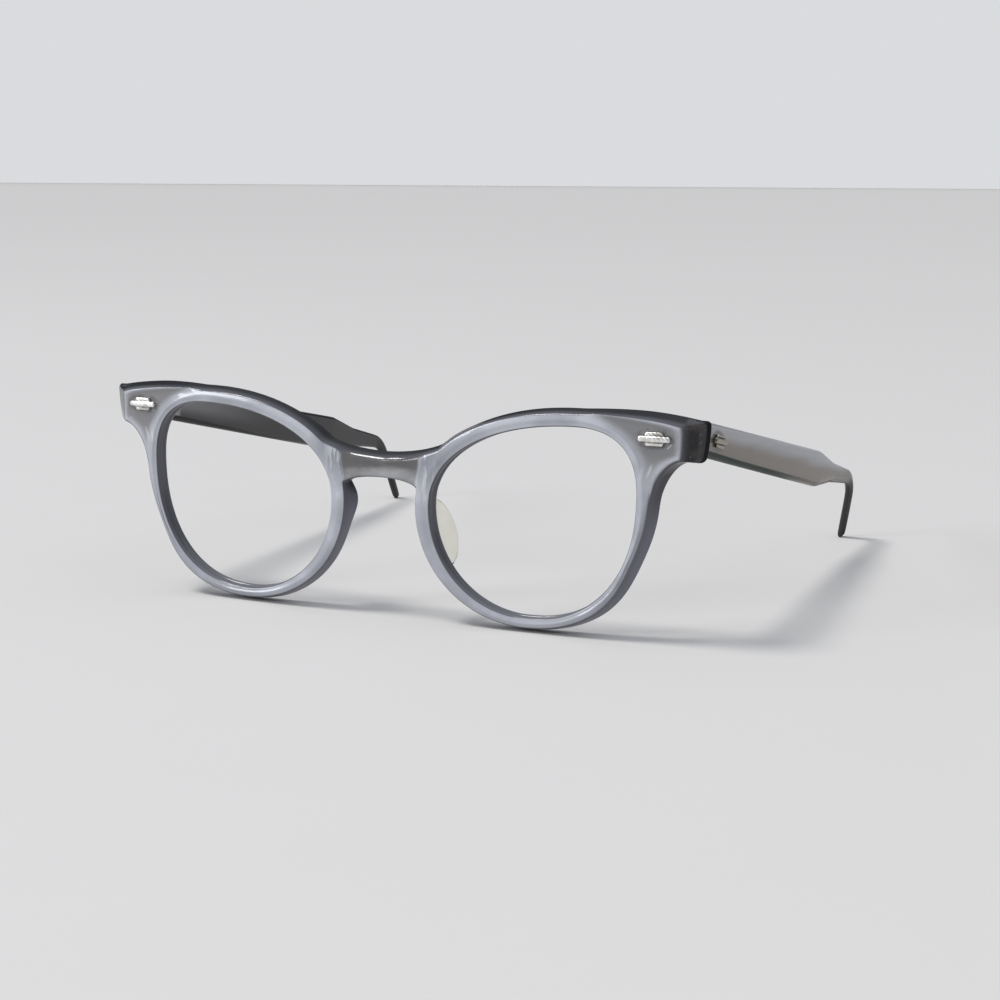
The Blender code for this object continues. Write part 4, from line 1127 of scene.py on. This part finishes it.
def buildPlaque():
    size = plaqueSize
    sideMiddle = size["barHeight"] / 2 + size["sideGap"] + size["sideHeight"] / 2
    bars = [addBar(size["length"], size["barHeight"], size["barThickness"], 0, size["endRound"], size["edge"] * 2)]
    for way in (-1, 1):
        bars.append(addBar(size["sideLength"], size["sideHeight"], size["sideThickness"], way * sideMiddle,
                           size["endRound"] * size["sideRound"], size["edge"] * size["sideEdge"], size["sideSlant"]))
    bars.append(addBar(size["sideLength"] * size["baseLength"], 2 * sideMiddle, size["baseThickness"], 0,
                       size["edge"], size["edge"] / 2))
    deselectAll()
    for bar in bars:
        bar.select_set(True)
    bpy.context.view_layer.objects.active = bars[0]
    bpy.ops.object.join()
    bpy.ops.object.shade_smooth_by_angle(angle=math.radians(size["smoothBelow"]))
    return bars[0]


def frontPlaquePlace(side):
    x = hingeSetup["side"] - plaqueSize["fromHinge"]
    lean = math.atan(x / frontSize["bowRadius"])
    depth = bow(x) + frontSize["endRecess"] - plaqueSize["sunkFront"]
    spot = frontPlace + Vector((side * x, depth, plaqueSize["rise"]))
    return Matrix.Translation(spot) @ Matrix.Rotation(side * lean, 4, "Z")


def templePlaquePlace(side):
    middle, drop = templePath(plaqueSize["onTemple"])
    outer = templeOuterX(plaqueSize["onTemple"]) + templeSize["crown"] + plaqueSize["raisedTemple"]
    spot = frontPlace + Vector((side * outer, middle.x, middle.y))
    along = Vector((0, math.cos(drop), -math.sin(drop)))
    inward = Vector((-side, 0, 0))
    up = along.cross(inward) * side
    return Matrix.Translation(spot) @ Matrix((along * side, inward, up)).transposed().to_4x4()


def placePlaques(finish):
    pattern = buildPlaque()
    for side, sideName in ((1, "left"), (-1, "right")):
        for kind, place, body in (("front", frontPlaquePlace(side), "front"),
                                  ("temple", templePlaquePlace(side), sideName + "_temple")):
            plaque = pattern.copy()
            plaque.data = pattern.data.copy()
            plaque.name = kind + "_plaque_" + sideName + "_bars"
            bpy.context.scene.collection.objects.link(plaque)
            plaque.data.transform(place)
            finishPiece(plaque, body, [kind + "_plaque_" + sideName], finish)
    bpy.data.objects.remove(pattern)
    print("plaques placed")


# floor, backdrop and light

stageSetup = {
    "floor": rgb(0.55, 0.543, 0.532), "floorSize": 16, "grain": 1.01,
    "backdrop": rgb(0.70, 0.71, 0.73), "backdropAt": 6.0, "backdropWidth": 12, "backdropHeight": 0.60,
    "unseen": (rgb(0.30, 0.30, 0.31), rgb(0.32, 0.32, 0.33)),
    "low": rgb(0.06, 0.063, 0.070), "high": rgb(0.74, 0.78, 0.86), "climb": (0.26, 0.92), "paleBelow": (0.08, 0.11),
    "lampsAim": (0, 0, 0.02),
}

# the window high on the left is far away and broad
windowSetup = {"from": (-0.41, -0.17, 0.90), "power": 2.2, "breadth": 18.0, "colour": (1.0, 0.98, 0.96)}
lampSetup = {
    "front": {"place": (-1.10, -1.20, 0.60), "size": 0.6, "power": 13.0, "colour": (0.95, 0.97, 1.0)},
    "side": {"place": (1.30, -0.50, 0.50), "size": 0.8, "power": 1.5, "colour": (1.0, 0.98, 0.95)},
}


def stageFinish(name, colour):
    finish, shader, _, place = newFinish(name, {"Roughness": 0.9, "Specular IOR Level": 0.1})
    lighter = rgb(*(min(channel * stageSetup["grain"], 1) for channel in colour[:3]))
    plug(shader, "Base Color", place.noise(40.0, 2.0).tint(colour, lighter))
    return finish


def seenBy(start, ray):
    return start.node("ShaderNodeLightPath", {}, {}, "Is " + ray + " Ray")


# the backdrop looks pale to the camera and in reflections, and throws no light
def backdropFinish(name, colour):
    finish, shader, start, place = newFinish(name, {"Roughness": 0.9})
    plug(shader, "Base Color", place.noise(2.0, 1.0).tint(*stageSetup["unseen"]))
    seen = seenBy(start, "Camera").most(seenBy(start, "Glossy")).most(seenBy(start, "Transmission"))
    pale = start.node("ShaderNodeEmission", {}, {"Color": colour, "Strength": 1.0})
    layOver(finish, shader, seen, pale)
    return finish


def buildStage():
    deselectAll()
    bpy.ops.mesh.primitive_plane_add(size=stageSetup["floorSize"], location=(0, 0, 0))
    floor = bpy.context.object
    floor.name = "floor"
    floor.data.materials.append(stageFinish("paleFloor", stageSetup["floor"]))
    deselectAll()
    bpy.ops.mesh.primitive_plane_add(size=1, location=(0, 0, 0))
    backdrop = bpy.context.object
    backdrop.name = "backdrop"
    backdrop.scale = (stageSetup["backdropWidth"], stageSetup["backdropHeight"], 1)
    turn = math.radians(cameraSetup["turn"][2])
    backdrop.rotation_euler = (math.radians(90), 0, turn)
    away = stageSetup["backdropAt"]
    backdrop.location = (-away * math.sin(turn), away * math.cos(turn), stageSetup["backdropHeight"] / 2)
    backdrop.data.materials.append(backdropFinish("paleBackdrop", stageSetup["backdrop"]))


def addLamp(name, kind, setup, towards):
    lamp = bpy.data.objects.new(name, bpy.data.lights.new(name, kind))
    bpy.context.scene.collection.objects.link(lamp)
    lamp.rotation_euler = towards.to_track_quat("-Z", "Y").to_euler()
    lamp.data.energy = setup["power"]
    lamp.data.color = setup["colour"]
    return lamp


def addLight():
    window = addLamp("windowLamp", "SUN", windowSetup, -Vector(windowSetup["from"]))
    window.data.angle = math.radians(windowSetup["breadth"])
    for name, setup in lampSetup.items():
        lamp = addLamp(name + "Lamp", "AREA", setup, Vector(stageSetup["lampsAim"]) - Vector(setup["place"]))
        lamp.location = setup["place"]
        lamp.data.shape = "SQUARE"
        lamp.data.size = setup["size"]
    world = bpy.data.worlds.new("studio")
    world.use_nodes = True
    start = Wire(world.node_tree)
    up = start.node("ShaderNodeTexCoord", {}, {}, "Generated").axis(2)
    sky = up.ease(*stageSetup["climb"]).tint(stageSetup["low"], stageSetup["high"])
    mirrored = seenBy(start, "Glossy").most(seenBy(start, "Transmission"))
    pale = (mirrored * (1.0 - up.ease(*stageSetup["paleBelow"]))).most(seenBy(start, "Camera"))
    plug(world.node_tree.nodes["Background"], "Color", pale.tint(sky, stageSetup["backdrop"]))
    bpy.context.scene.world = world
    bpy.context.scene.view_settings.view_transform = "Standard"
    print("stage lit")


buildFront(makeFrontAcetate())
for side, name in ((1, "left"), (-1, "right")):
    buildTemple(side, "temple_" + name, makeTempleAcetate(side))
clearPad = makeClearPad()
buildPad(1, "nose_pad_left", clearPad)
buildPad(-1, "nose_pad_right", clearPad)
placePlaques(makePlaqueSilver())
hingeSteel = makeHingeSteel()
for name, node in frame["nodes"].items():
    if "hinge" in name:
        node.data.materials.clear()
        node.data.materials.append(hingeSteel)
buildStage()
addLight()
deselectAll()
